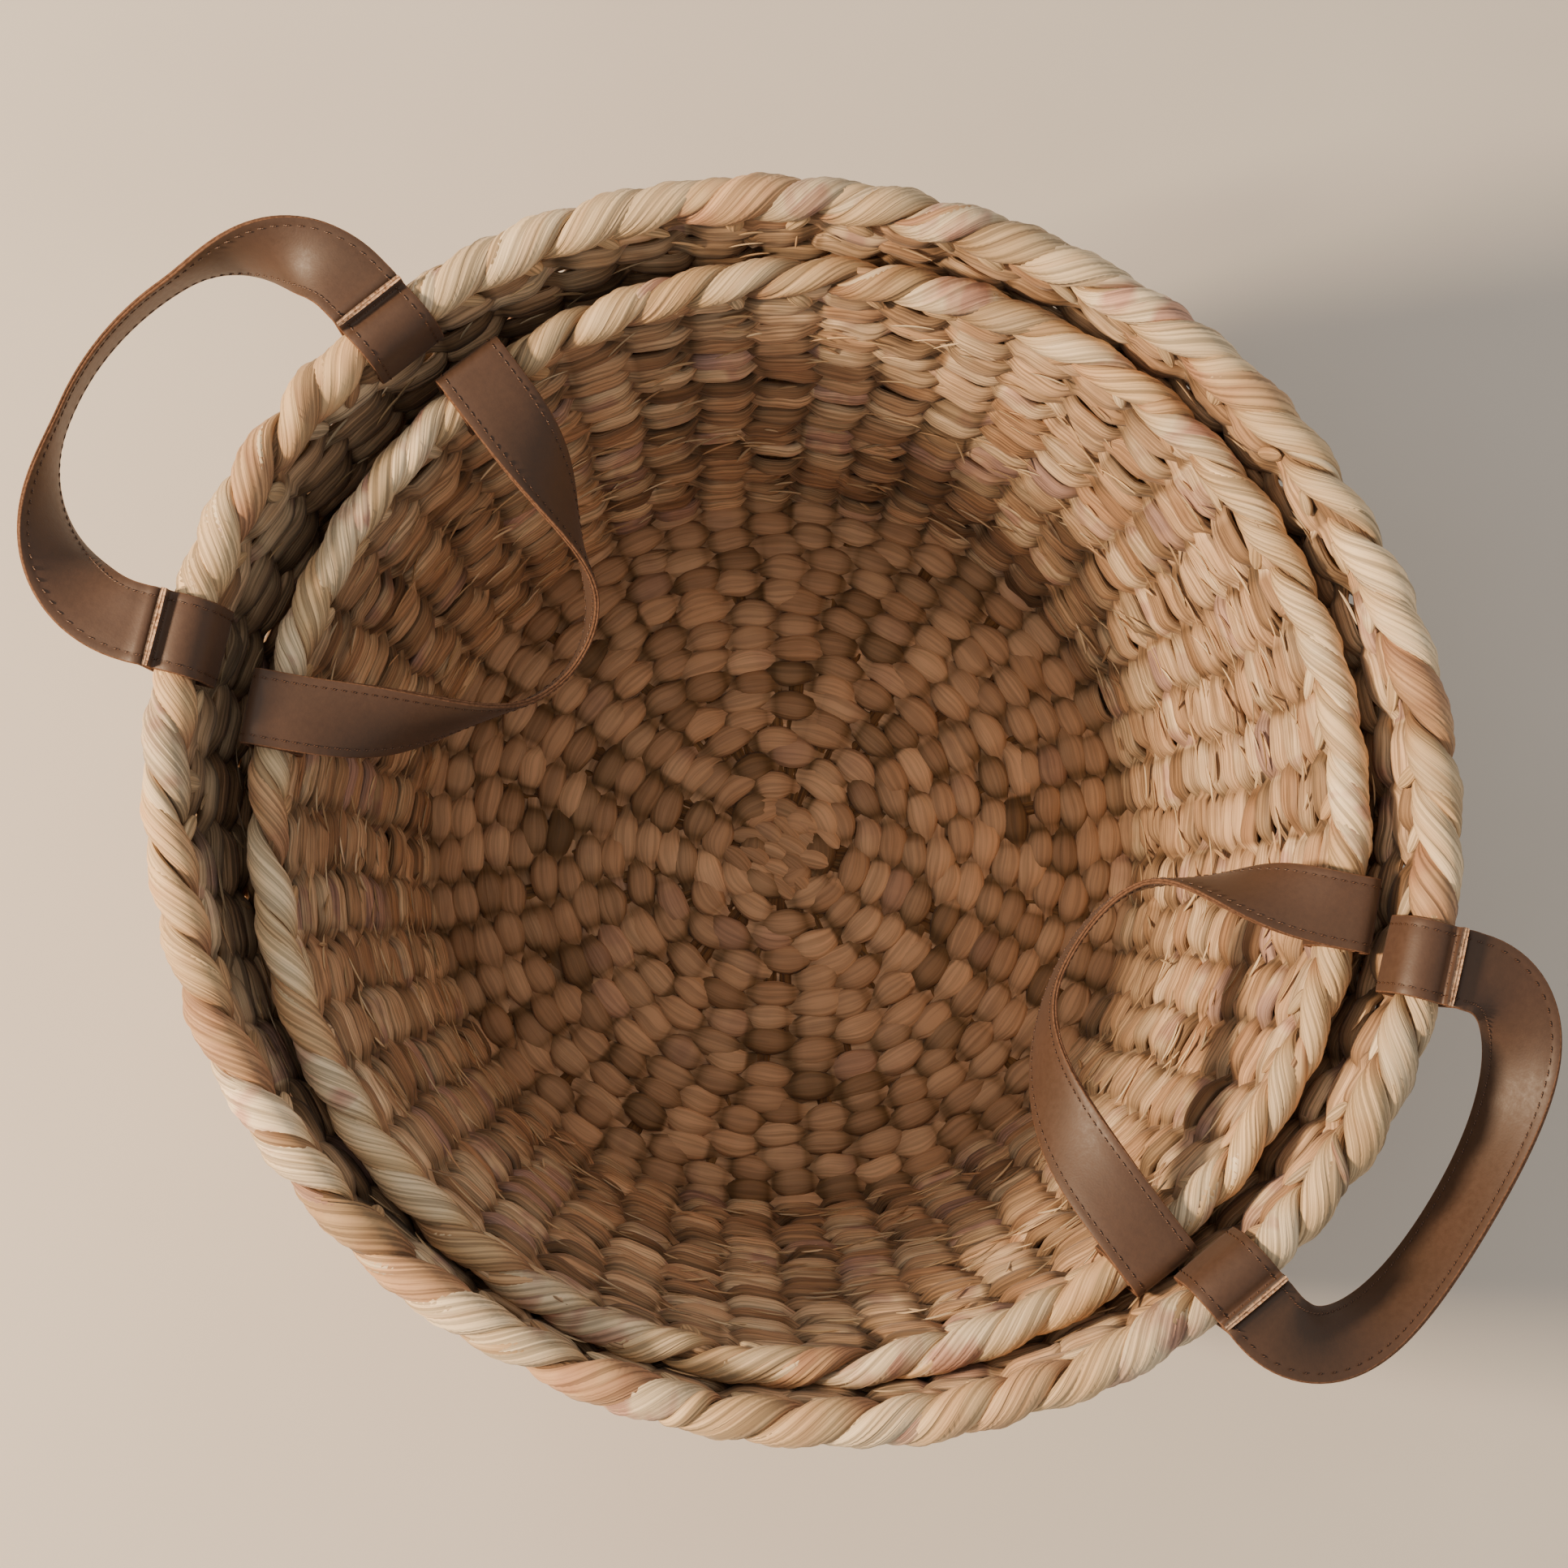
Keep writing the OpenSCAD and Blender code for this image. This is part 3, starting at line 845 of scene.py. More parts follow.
@dataclass
class Basket:
    """One woven basket: base, wall, stakes, rim border, tucked ends and loose fibres."""

    form: BasketForm
    body: str
    seed: int
    materials: Dict[str, bpy.types.Material]
    row_pitch: float = 7.5 * MM
    base_pitch: float = 5.5 * MM
    border_swell: float = 0.6 * MM
    wall_parts: int = 3

    def __post_init__(self) -> None:
        """Seeds the basket's own random generator."""
        self.dice = np.random.default_rng(self.seed)

    def finish_piece(self, piece: bpy.types.Object, slot: str, *nodes: str) -> None:
        """Rides a piece on the basket's body and hides any CAD nodes that it replaces.

        Args:
            piece: The finished piece.
            slot: Not used.
            nodes: The CAD nodes that it replaces.
        """
        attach(piece, self.body)
        if nodes:
            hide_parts(*nodes)

    def make_wall(self) -> None:
        """Weaves the wall in stretches, from the foot to under the border."""
        rows = np.arange(
            -0.7 * self.row_pitch, self.form.wall_length + 1.1 * self.row_pitch, self.row_pitch
        )
        node = f"{self.form.name}_wall_weave"
        for number, stretch in enumerate(np.array_split(np.arange(len(rows)), self.wall_parts)):
            mesh = GridMesh()
            rule = WeaveRule(
                self.form.wall,
                rows[stretch],
                self.form.stakes,
                self.row_pitch,
                swing=0.27 * self.form.wall_t,
                half_thick=0.24 * self.form.wall_t,
                waist=0.7,
                fullness=1.14,
                skew=0.9,
                sag=0.16,
                loose=1.7,
                first_row=int(stretch[0]),
            )
            weave(mesh, rule, self.dice)
            piece = mesh.build(f"{self.form.name}_wall_strands_{number + 1}", [self.materials["weft"]])
            self.finish_piece(piece, "hyacinth_weave", node)

    def make_base(self) -> None:
        """Weaves the round base from its middle out to the foot of the wall."""
        mesh = GridMesh()
        outer = self.form.base_r - 0.2 * self.form.wall_t
        for radii, stakes in radial_zones(14 * MM, outer, self.base_pitch, widest=23.5 * MM):
            rule = WeaveRule(
                self.form.base,
                radii,
                stakes,
                self.base_pitch,
                swing=2.3 * MM,
                half_thick=2.8 * MM,
                waist=0.74,
                fullness=1.3,
                skew=0.1,
                loose=0.9,
            )
            weave(mesh, rule, self.dice)
        self.add_base_middle(mesh)
        piece = mesh.build(f"{self.form.name}_base_strands", [self.materials["base"]])
        self.finish_piece(piece, "hyacinth_weave", f"{self.form.name}_base_weave")

    def add_base_middle(self, mesh: GridMesh, rows: int = 6, columns: int = 3) -> None:
        """Adds the start of the weave: rows of short plump stitches, every second row
        shifted by half a stitch.

        Args:
            mesh: Takes the stitches.
            rows: Number of rows.
            columns: Number of stitches in a row.
        """
        row, column = (v.ravel() for v in np.meshgrid(np.arange(rows), np.arange(columns)))
        length, count = 17 * MM, rows * columns
        x = (column - (columns - 1) / 2 + 0.5 * (row % 2) - 0.25) * 0.72 * length
        y = (row - (rows - 1) / 2) * 1.15 * self.base_pitch
        lift = -2.4 * MM + 0.5 * MM * self.dice.normal(size=count)
        self.add_slivers(
            mesh,
            lambda side, up, rise: self.form.flat(side + x[:, None, None], up + y[:, None, None], rise),
            lift,
            lean=self.dice.normal(0, 0.16, count),
            length=length * self.dice.uniform(0.9, 1.2, count),
            half_wide=self.dice.uniform(4.2, 5.4, count) * MM,
            half_thick=2.6 * MM,
        )

    def make_stakes(self) -> None:
        """Makes the flat stakes that the wall is woven on, swaying against the strands,
        and a thin disc of crossing stakes under the base strands."""
        form, count = self.form, self.form.stakes
        steps = int(form.wall_length / self.row_pitch) * 2
        along = np.linspace(-6 * MM, form.wall_length, steps)
        middle = TAU * (np.arange(count) + 0.5) / count
        turn = np.linspace(0, TAU, 12, endpoint=False)
        ribs = 1 + 0.12 * np.cos(6 * turn)
        sway = -1.1 * MM * np.cos(np.pi * along / self.row_pitch)
        width = 6.2 * MM * (1 + 0.1 * self.dice.normal(size=(count, 1)))
        radius = form.base_r + along * math.sin(form.flare)
        angle = middle[:, None, None] + width[..., None] * np.sin(turn) / radius[None, :, None]
        lift = sway[None, :, None] + 1.5 * MM * np.cos(turn) * ribs
        block = form.wall(
            np.broadcast_to(angle, (count, steps, len(turn))),
            np.broadcast_to(along[None, :, None], (count, steps, len(turn))),
            np.broadcast_to(lift, (count, steps, len(turn))),
        )
        mesh = GridMesh()
        u = np.broadcast_to(along, (count, steps)) + self.dice.uniform(0, 5, (count, 1))
        v = np.linspace(0, 26 * MM, len(turn) + 1)
        tint = self.dice.uniform(0, 1, (count, 1, 1))
        # Painted shade: a low fixed tone darkens the wall stakes, which sit behind the strands.
        mesh.add(block, u, v, tint, np.full((count, 1, 1), 0.35), flip=True)
        spokes = np.linspace(4 * MM, form.base_r - 2 * MM, 24)
        flat_angle = middle[:, None, None] + 4.5 * MM * np.sin(turn) / (spokes[None, :, None] + 20 * MM)
        flat = form.base(
            np.broadcast_to(flat_angle, (count, len(spokes), len(turn))),
            np.broadcast_to(spokes[None, :, None], (count, len(spokes), len(turn))),
            np.broadcast_to(1.2 * MM * np.cos(turn), (count, len(spokes), len(turn))),
        )
        u = np.broadcast_to(spokes, (count, len(spokes))) + 1.0
        # Painted shade: a lower fixed tone darkens the base disc, which lies under the base strands.
        mesh.add(flat, u, v, tint, np.full((count, 1, 1), 0.22), flip=True)
        piece = mesh.build(f"{form.name}_stake_strips", [self.materials["stake"]])
        self.finish_piece(piece, "stake_fibre", f"{form.name}_stakes")

    def make_border(self) -> None:
        """Makes the rope border: each stake end is a spindle of folded leaf, and thinner
        split leaves lie over the spindles at their own slants."""
        mesh = GridMesh()
        self.add_spindles(
            mesh, reach=2.2, slant=(-62, 278), lift=0.38, wide=1.0, thick=0.54, uneven=1.0
        )
        self.add_spindles(
            mesh, reach=1.7, slant=(-34, 196), lift=0.56, wide=0.42, thick=0.26, uneven=2.6
        )
        piece = mesh.build(f"{self.form.name}_border_rope", [self.materials["border"]])
        self.finish_piece(piece, "border_rope", f"{self.form.name}_rim_border")
        self.make_border_core()

    def add_spindles(
        self,
        mesh: GridMesh,
        reach: float,
        slant: Tuple[float, float],
        lift: float,
        wide: float,
        thick: float,
        uneven: float,
    ) -> None:
        """Adds a spindle for each stake, which rises from outside the rim, crosses its top
        and tucks in inside. Its width and thickness go with the root of the sine of its
        place along itself.

        Args:
            mesh: Takes the spindles.
            reach: How many stakes' spacing each spindle passes.
            slant: Its first place round the border and its whole turn, in degrees.
            lift: How far its middle stands off the border's middle line.
            wide: Half its width. It, the lift and the thickness are shares of the border's
                half width.
            thick: Half its thickness.
            uneven: How much the spindles differ.
        """
        form, count, steps, around = self.form, self.form.stakes, 28, 16
        t = np.linspace(0, 1, steps)
        first = TAU * (np.arange(count) + self.dice.normal(0, 0.05 * uneven, count)) / count
        passed = reach + self.dice.normal(0, 0.12 * uneven, count)
        middle = first[:, None] + TAU / count * passed[:, None] * t
        rise = np.radians(slant[0]) + np.radians(slant[1]) * (0.6 * t + 0.4 * smooth_step(t))
        rise = rise[None, :] + np.radians(5) * uneven * self.dice.normal(size=(count, 1))
        belly = np.sin(np.pi * np.clip(t, 0, 1)) ** 0.5
        core = form.border_w / 2 + self.border_swell
        lifted = core * (0.2 + lift * belly)[None, :] * (1 + 0.05 * self.dice.normal(size=(count, 1)))
        half_wide = core * wide * belly * (1 + 0.1 * uneven * self.dice.normal(size=(count, 1)))
        half_thick = core * thick * (0.2 + 0.8 * belly)
        turn = np.linspace(0, TAU, around, endpoint=False)
        twist = self.dice.uniform(0, TAU, (count, 1, 1)) + 2.0 * t[None, :, None]
        lobes = 1 + 0.07 * np.cos(4 * turn + twist) + 0.04 * np.cos(7 * turn - twist)
        across = half_wide[..., None] * np.sin(turn) * lobes
        deep = half_thick[None, :, None] * np.cos(turn) * lobes
        radius = np.maximum(lifted[..., None] + deep, 0.4 * MM)
        round_it = rise[..., None] + across / (0.8 * core)
        block = form.border(middle[..., None] - 0.35 * across / form.rim_r, round_it, radius)
        length = TAU * form.rim_r / count * reach
        u = length * t[None, :] + self.dice.uniform(0, 9, (count, 1))
        v = np.linspace(0, 3.6 * core * wide, around + 1)
        # Painted shade: towards its tucked end a spindle's tint slides to the ramp's browner end, and tone darkens
        # both ends and the sides, where spindles tuck under their neighbours; the per-spindle part is random.
        tint = self.dice.beta(2.0, 1.4, (count, 1, 1)) - 0.5 * smooth_step(2.4 * (t - 0.62))[None, :, None]
        tone = np.clip(0.68 + 0.13 * self.dice.normal(size=(count, 1, 1)), 0, 1)
        tone = np.clip(tone - 0.5 * (1 - belly[None, :, None]) - 0.28 * np.sin(turn) ** 6, 0, 1)
        mesh.add(block, u, v, np.clip(tint, 0, 1), tone)

    def make_border_core(self) -> None:
        """Makes the bundle of bent-over stakes inside the rope border."""
        form, steps, around = self.form, 180, 12
        angle = TAU * np.arange(steps) / steps
        turn = np.linspace(0, TAU, around, endpoint=False)
        across = (form.border_w / 2 - 3.4 * MM) * np.cos(turn)
        along = (form.border_h / 2 - 2 * MM) * np.sin(turn)
        centre = form.wall_length + form.border_h / 2 - 1 * MM
        lobes = 1 + 0.05 * np.cos(5 * turn[None, :] + 27 * angle[:, None])
        block = form.wall(
            np.broadcast_to(angle[:, None], (steps, around)),
            centre + along * lobes,
            across * lobes,
        )[None]
        mesh = GridMesh()
        u = (form.rim_r * TAU * np.arange(steps + 1) / steps)[None]
        v = np.linspace(0, 50 * MM, around + 1)
        # Painted shade: a low fixed tone darkens the core, which shows only deep between the spindles.
        mesh.add(block, u, v, np.array([[[0.3]]]), np.array([[[0.2]]]), ring=True)
        piece = mesh.build(f"{form.name}_border_core", [self.materials["weft"]])
        self.finish_piece(piece, "border_rope")

    def make_tucks(self) -> None:
        """Makes the short folded ends that show between the border's spindles inside, and
        the loose fibres that stand off the weave."""
        form, count = self.form, self.form.stakes
        mesh = GridMesh()
        self.add_slivers(
            mesh,
            self.on_wall(
                TAU * (np.arange(count) + 0.35 + self.dice.normal(0, 0.12, count)) / count,
                form.wall_length + form.border_h * self.dice.uniform(0.12, 0.45, count),
            ),
            -form.border_w * self.dice.uniform(0.34, 0.42, count),
            lean=self.dice.normal(0.8, 0.5, count),
            length=self.dice.uniform(13, 21, count) * MM,
            half_wide=self.dice.uniform(3.0, 4.8, count) * MM,
            half_thick=1.9 * MM,
        )
        loose = 12 * count
        self.add_slivers(
            mesh,
            self.on_wall(
                self.dice.uniform(0, TAU, loose),
                self.dice.uniform(0.03, 0.98, loose) * form.wall_length,
            ),
            -form.wall_t * self.dice.uniform(0.46, 0.58, loose),
            lean=self.dice.normal(0, 0.5, loose),
            length=self.dice.uniform(7, 22, loose) * MM,
            half_wide=self.dice.uniform(0.3, 1.2, loose) * MM,
            half_thick=0.35 * MM,
        )
        piece = mesh.build(f"{form.name}_tucked_ends", [self.materials["border"]])
        self.finish_piece(piece, "border_rope")

    def on_wall(self, angle: Points, along: Points) -> Surface:
        """Gives the surface round places on the wall.

        Args:
            angle: Angle of each place.
            along: Length up the wall of each place.

        Returns:
            A function from sideways, upwards and lift to points.
        """
        form = self.form
        radius = (form.base_r + along * math.sin(form.flare))[:, None, None]
        middle, up_to = angle[:, None, None], along[:, None, None]
        return lambda side, up, lift: form.wall(middle + side / radius, up_to + up, lift)

    def add_slivers(
        self,
        mesh: GridMesh,
        surface: Surface,
        lift: Points,
        lean: Points,
        length: Points,
        half_wide: Points,
        half_thick: float,
    ) -> None:
        """Adds tapered slivers of leaf that lie on a surface.

        Args:
            mesh: Takes the slivers.
            surface: Function from sideways, upwards and lift to points.
            lift: Lift of each one's middle.
            lean: Turn of each one from level, in radians.
            length: Length of each one.
            half_wide: Half its width at its middle.
            half_thick: Half its thickness at its middle.
        """
        t = np.linspace(-1, 1, 9)
        turn = np.linspace(0, TAU, 8, endpoint=False)
        taper = np.sqrt(np.clip(1 - t**2, 0.01, 1))
        level, rising = np.cos(lean)[:, None], np.sin(lean)[:, None]
        middle = length[:, None] / 2 * t
        wide = half_wide[:, None, None] * taper[:, None] * np.sin(turn)
        bow = 0.06 * length[:, None] * (1 - t**2)
        side = (middle * level)[..., None] - wide * rising[..., None]
        up = (middle * rising + bow)[..., None] + wide * level[..., None]
        block = surface(side, up, lift[:, None, None] + half_thick * taper[:, None] * np.cos(turn))
        u = middle + self.dice.uniform(0, 9, (len(length), 1))
        v = np.linspace(0, 4 * float(np.mean(half_wide)), len(turn) + 1)
        tint = self.dice.uniform(0.2, 0.9, (len(length), 1, 1))
        mesh.add(block, u, v, tint, self.dice.uniform(0.4, 0.8, (len(length), 1, 1)), flip=True)

    def make(self) -> None:
        """Makes every piece of the basket."""
        self.make_wall()
        self.make_base()
        self.make_stakes()
        self.make_border()
        self.make_tucks()


# --- Straps ----------------------------------------------------------------------------


class Flop(Enum):
    """Which way a handle lies at rest."""

    OUT = 1
    IN = -1


@dataclass(frozen=True)
class Strap:
    """The leather strap: two plies sewn together along both edges."""

    width: float = 30 * MM
    ply: float = 1.15 * MM
    ply_gap: float = 0.1 * MM
    seam_inset: float = 3.5 * MM
    stitch_pitch: float = 4 * MM
    stitch_length: float = 2.9 * MM
    thread: float = 0.75 * MM

    @property
    def thickness(self) -> float:
        """Thickness of both plies."""
        return 2 * self.ply + self.ply_gap


@dataclass(frozen=True)
class HandleShape:
    """How one handle lies: its reach and droop from the rim, and its turn and roundness."""

    loop_angle: float
    reach: float
    droop: float
    twist: float
    leg_share: float = 0.55
    bight_share: float = 0.72
    skew: float = 0.0
    peak: float = 0.0
    hold: float = 1.0
    flap: float = 6.5 * MM


def arc(centre: Tuple[float, float], radius: float, start: float, end: float, count: int) -> Points:
    """Points along an arc, with angles in degrees."""
    angle = np.radians(np.linspace(start, end, count))
    return np.stack([centre[0] + radius * np.cos(angle), centre[1] + radius * np.sin(angle)], axis=-1)


def bezier(points: Sequence[Points], count: int) -> Points:
    """Points along a cubic curve with four control points."""
    t = np.linspace(0, 1, count)[:, None]
    a, b, c, d = (np.asarray(p, float) for p in points)
    return (1 - t) ** 3 * a + 3 * t * (1 - t) ** 2 * b + 3 * t * t * (1 - t) * c + t**3 * d


def spaced(points: Points, step: float, *others: Points) -> List[Points]:
    """Takes points evenly along a line, and other values along with them.

    Args:
        points: The line's points, (count, 3).
        step: The distance wanted between two points.
        others: Arrays with a row for each point.

    Returns:
        The new points and the other arrays at the same places.
    """
    gaps = np.linalg.norm(np.diff(points, axis=0), axis=1)
    length = np.concatenate([[0], np.cumsum(gaps)])
    wanted = np.linspace(0, length[-1], max(int(round(length[-1] / step)), 2) + 1)
    return [
        np.stack([np.interp(wanted, length, column) for column in values.T], axis=-1)
        for values in (points, *others)
    ]


def unit(vectors: Points) -> Points:
    """Vectors of length 1 with the same directions."""
    return vectors / np.maximum(np.linalg.norm(vectors, axis=-1, keepdims=True), 1e-12)


@dataclass
class StrapHandle:
    """One strap from raw end to raw end: two rim loops and the free handle between."""

    form: BasketForm
    side: str
    flop: Flop
    shape: HandleShape
    strap: Strap
    materials: Dict[str, bpy.types.Material]
    loop_gap: float = 0.7 * MM
    slot_gap: float = 0.8 * MM
    fin_gap: float = 0.5 * MM
    fold_radius: float = 5 * MM

    @property
    def basket_body(self) -> str:
        """Body of the basket that the loops hold."""
        return f"{self.form.name}_basket"

    @property
    def handle_body(self) -> str:
        """Body of the free handle."""
        return f"{self.form.name}_{self.side}_handle"

    @property
    def joint(self) -> Dict[str, object]:
        """The frame's joint between the two bodies."""
        return next(j for j in frame["joints"] if j["child"] == self.handle_body)

    @property
    def hinge(self) -> Tuple[float, float]:
        """Distance of the hinge line from the Z axis, and its height."""
        place = self.joint["pos_m"]
        return abs(place[0]), place[2]

    @property
    def leg_x(self) -> float:
        """Distance of the strap's outer leg from the border's middle."""
        return self.form.border_w / 2 + self.loop_gap + self.strap.thickness / 2

    def leg_top(self) -> float:
        """Height of the outer leg's top above the border's middle."""
        lift = self.hinge[1] - self.form.border_z
        across = self.leg_x if self.flop is Flop.OUT else self.leg_x - self.fold_radius
        return (lift + across * math.sin(self.form.flare)) / math.cos(self.form.flare)

    def loop_outline(self) -> Points:
        """The strap end's middle line in the border's own frame, from its raw end over the
        border, down inside, out under the border and up to the outer leg's top."""
        reach, ply = self.leg_x, self.strap.ply
        wall_end = -(self.form.border_h - self.form.border_w / 2)
        slot_y = wall_end - self.strap.thickness / 2 - self.slot_gap
        corner = 2.5 * ply
        if self.flop is Flop.OUT:
            flap_x = reach - self.strap.thickness - self.fin_gap
            bend = 1.7 * ply
            bend_y = math.sqrt((reach + bend) ** 2 - (flap_x - bend) ** 2)
            meet = math.degrees(math.atan2(bend_y, flap_x - bend))
            tail = [
                np.linspace(
                    [flap_x, self.form.border_w / 2 + self.shape.flap], [flap_x, bend_y + bend], 4
                ),
                arc((flap_x - bend, bend_y), bend, 0, meet - 180, 7),
                arc((0, 0), reach, meet + 6, 180, 18),
            ]
        else:
            tail = [arc((0, 0), reach, 62, 180, 18)]
        return np.concatenate(
            tail
            + [
                arc((corner - reach, slot_y + corner), corner, 180, 270, 6),
                arc((reach - corner, slot_y + corner), corner, 270, 360, 6),
                np.linspace([reach, slot_y + corner], [reach, self.leg_top()], 5)[1:],
            ]
        )

    def free_line(self) -> Points:
        """The free handle's middle line for a handle on the right side.

        Each half is a cubic curve from its rim loop, square to the rim, to the middle of
        the handle. The strap droops with the square of its distance from the hinge.
        """
        shape, flop = self.shape, self.flop.value
        hinge_x, hinge_z = self.hinge
        middle = self.form.border_frame(0.0)
        across = self.leg_x if self.flop is Flop.OUT else self.leg_x - self.fold_radius
        rim = middle[0] + across * middle[1] + self.leg_top() * middle[2]
        half_span = rim[0] * math.sin(shape.loop_angle)
        rise = 0.0 if self.flop is Flop.OUT else self.fold_radius
        lean = flop * shape.loop_angle
        leg = np.array([-math.sin(lean), math.cos(lean)])
        start = np.array([-half_span, 0.0]) + 7 * MM * leg
        half = bezier(
            [
                start,
                start + leg * shape.leg_share * shape.reach,
                [-shape.bight_share * half_span, shape.reach],
                [0.0, shape.reach],
            ],
            40,
        )
        line = np.concatenate([half, (half * [-1, 1])[-2::-1]])
        away = line[:, 1] / shape.reach
        y = line[:, 0] + shape.skew * away**2
        z = hinge_z + rise - shape.droop * away**2
        return stacked(hinge_x + flop * line[:, 1], y, z)

    def ribbon(self) -> Tuple[Points, Points, Points]:
        """The whole strap's middle line and the directions of its width and outer face.

        Returns:
            Points, width directions and face directions along the strap.
        """
        outline, free = self.loop_outline(), self.free_line()
        ends = []
        for end in (-1, 1):
            middle, square, rising, along_rim = self.form.border_frame(end * self.shape.loop_angle)
            line = middle + outline[:, :1] * square + outline[:, 1:] * rising
            ends.append((line, rising, along_rim * -end))
        joined = []
        for (line, rising, _), reached, onward in (
            (ends[0], free[0], free[0] - free[1]),
            (ends[1], free[-1], free[-1] - free[-2]),
        ):
            pull = 0.6 * np.linalg.norm(reached - line[-1])
            joined.append(
                bezier(
                    [line[-1], line[-1] + pull * rising, reached + pull * unit(onward), reached], 12
                )[1:-1]
            )
        line = np.concatenate([ends[0][0], joined[0], free, joined[1][::-1], ends[1][0][::-1]])
        count_end = len(outline)
        blend_in = len(joined[0])
        along = unit(np.gradient(line, axis=0))
        level = unit(np.cross(along, [0.0, 0.0, 1.0]))
        level *= -1.0 if self.flop is Flop.OUT else 1.0
        place = np.linspace(-1, 1, len(free))
        peak = self.shape.peak
        nearness = np.where(place < peak, (place + 1) / (1 + peak), (1 - place) / (1 - peak))
        turned = np.radians(self.shape.twist) * smooth_step(self.shape.hold * nearness) * -self.flop.value
        free_part = slice(count_end + blend_in, count_end + blend_in + len(free))
        side = level[free_part]
        up = unit(np.cross(side, along[free_part]))
        up *= np.sign(up[:, 2:])
        free_width = np.cos(turned)[:, None] * side + np.sin(turned)[:, None] * up
        width = np.zeros_like(line)
        width[:count_end] = ends[0][2]
        width[-count_end:] = ends[1][2]
        width[free_part] = free_width
        share = smooth_step(np.linspace(0, 1, blend_in + 2)[1:-1])[:, None]
        width[count_end : count_end + blend_in] = (1 - share) * ends[0][2] + share * free_width[0]
        width[-count_end - blend_in : -count_end] = share * ends[1][2] + (1 - share) * free_width[-1]
        line, width = spaced(line, 2.4 * MM, width)
        along = unit(np.gradient(line, axis=0))
        width = unit(width - np.sum(width * along, axis=1, keepdims=True) * along)
        face = np.cross(width, along)
        return line, width, face

    def place(self, points: Points) -> Points:
        """Turns points made for the right side to this side and lets them settle with the
        basket."""
        turned = points if self.side == "right" else points * np.array([-1.0, -1.0, 1.0])
        return self.form.settle(turned)

    def bend_with_handle(self, piece: bpy.types.Object) -> None:
        """Bakes a piece's transform into its mesh."""
        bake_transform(piece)

    def make_ply(self, name: str, inner: float, outer: float, key: str, kind: str) -> None:
        """Makes one ply of leather as a closed ribbon with pale cut edges.

        Args:
            name: The piece's name.
            inner: Offset of the ply's face that lies on the other ply.
            outer: Offset of its grain face.
            key: Which material its grain takes.
            kind: The end of the names of the CAD nodes that it stands for.
        """
        line, width, face = self.ribbon()
        half = self.strap.width / 2
        seam = 1 - self.strap.seam_inset / half
        columns = np.array([-1, -0.975, -seam - 0.05, -seam, -seam + 0.05, -0.4, 0])
        columns = np.concatenate([columns, -columns[-2::-1]])
        sign = np.sign(outer)
        sunk = 0.16 * MM * np.exp(-(((np.abs(columns) - seam) / 0.04) ** 2))
        rounded = 0.3 * MM * smooth_step((np.abs(columns) - 0.95) / 0.05)
        crown = 0.1 * MM * (1 - columns**2)
        top = outer + sign * (crown - sunk - rounded)
        low = np.full_like(columns, inner)
        across = np.concatenate([columns, columns[::-1]]) * half
        offset = np.concatenate([top, low])
        points = line[:, None] + across[:, None] * width[:, None] + offset[:, None] * face[:, None]
        count = len(columns)
        part = np.zeros(2 * count, np.int32)
        part[[0, count - 2, count - 1, 2 * count - 1]] = 1
        step = np.linalg.norm(np.diff(line, axis=0), axis=1)
        u = np.concatenate([[0], np.cumsum(step)])[None]
        gaps = np.hypot(np.diff(np.append(across, across[0])), np.diff(np.append(offset, offset[0])))
        v = np.concatenate([[0], np.cumsum(gaps)])
        mesh = GridMesh()
        none = np.zeros((1, 1, 1))
        mesh.add(self.place(points)[None], u, v, none, none, part=part, flip=bool(sign < 0))
        piece = mesh.build(name, [self.materials[part] for part in (key, "side", "edge")])
        start = f"{self.form.name}_{self.side}"
        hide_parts(f"{start}_handle_{kind}", f"{start}_loops_{kind}")
        self.bend_with_handle(piece)

    def make_stitching(self) -> None:
        """Makes every stitch: both edge seams on both faces, and the seam across each loop
        that holds the raw end."""
        line, width, face = self.ribbon()
        along = unit(np.gradient(line, axis=0))
        steps = np.concatenate([[0], np.cumsum(np.linalg.norm(np.diff(line, axis=0), axis=1))])
        wanted = np.arange(self.strap.stitch_pitch, steps[-1] - 3 * MM, self.strap.stitch_pitch)
        picked = [
            np.stack([np.interp(wanted, steps, column) for column in values.T], axis=-1)
            for values in (line, unit(along), width, face)
        ]
        edge = self.strap.width / 2 - self.strap.seam_inset
        stand = self.strap.thickness / 2 + 0.05 * MM
        middles, runs, acrosses = [], [], []
        for across in (-edge, edge):
            for offset in (-stand, stand):
                middles.append(picked[0] + across * picked[2] + offset * picked[3])
                runs.append(picked[1] + 0.08 * picked[2])
                acrosses.append(picked[3] * np.sign(offset))
        crossing = np.arange(-edge + 3 * MM, edge - 2 * MM, self.strap.stitch_pitch)
        for place, sign in self.cross_seams(steps[-1]):
            index = int(np.argmin(np.abs(steps - place)))
            middles.append(line[index] + crossing[:, None] * width[index] + sign * stand * face[index])
            runs.append(np.repeat(width[index][None], len(crossing), axis=0))
            acrosses.append(np.repeat(sign * face[index][None], len(crossing), axis=0))
        middle, run, stand_up = (unit(v) if k else v for k, v in enumerate(map(np.concatenate, (middles, runs, acrosses))))
        t = np.linspace(-1, 1, 6)
        turn = np.linspace(0, TAU, 6, endpoint=False)
        sideways = np.cross(run, stand_up)
        taper = np.sqrt(np.clip(1 - t**2, 0.06, 1))
        half = self.strap.thread / 2
        points = (
            middle[:, None, None]
            + run[:, None, None] * (self.strap.stitch_length / 2 * t)[None, :, None, None]
            + sideways[:, None, None] * (half * taper[:, None] * np.cos(turn))[None, ..., None]
            + stand_up[:, None, None] * (half * taper[:, None] * np.sin(turn))[None, ..., None]
        )
        mesh = GridMesh()
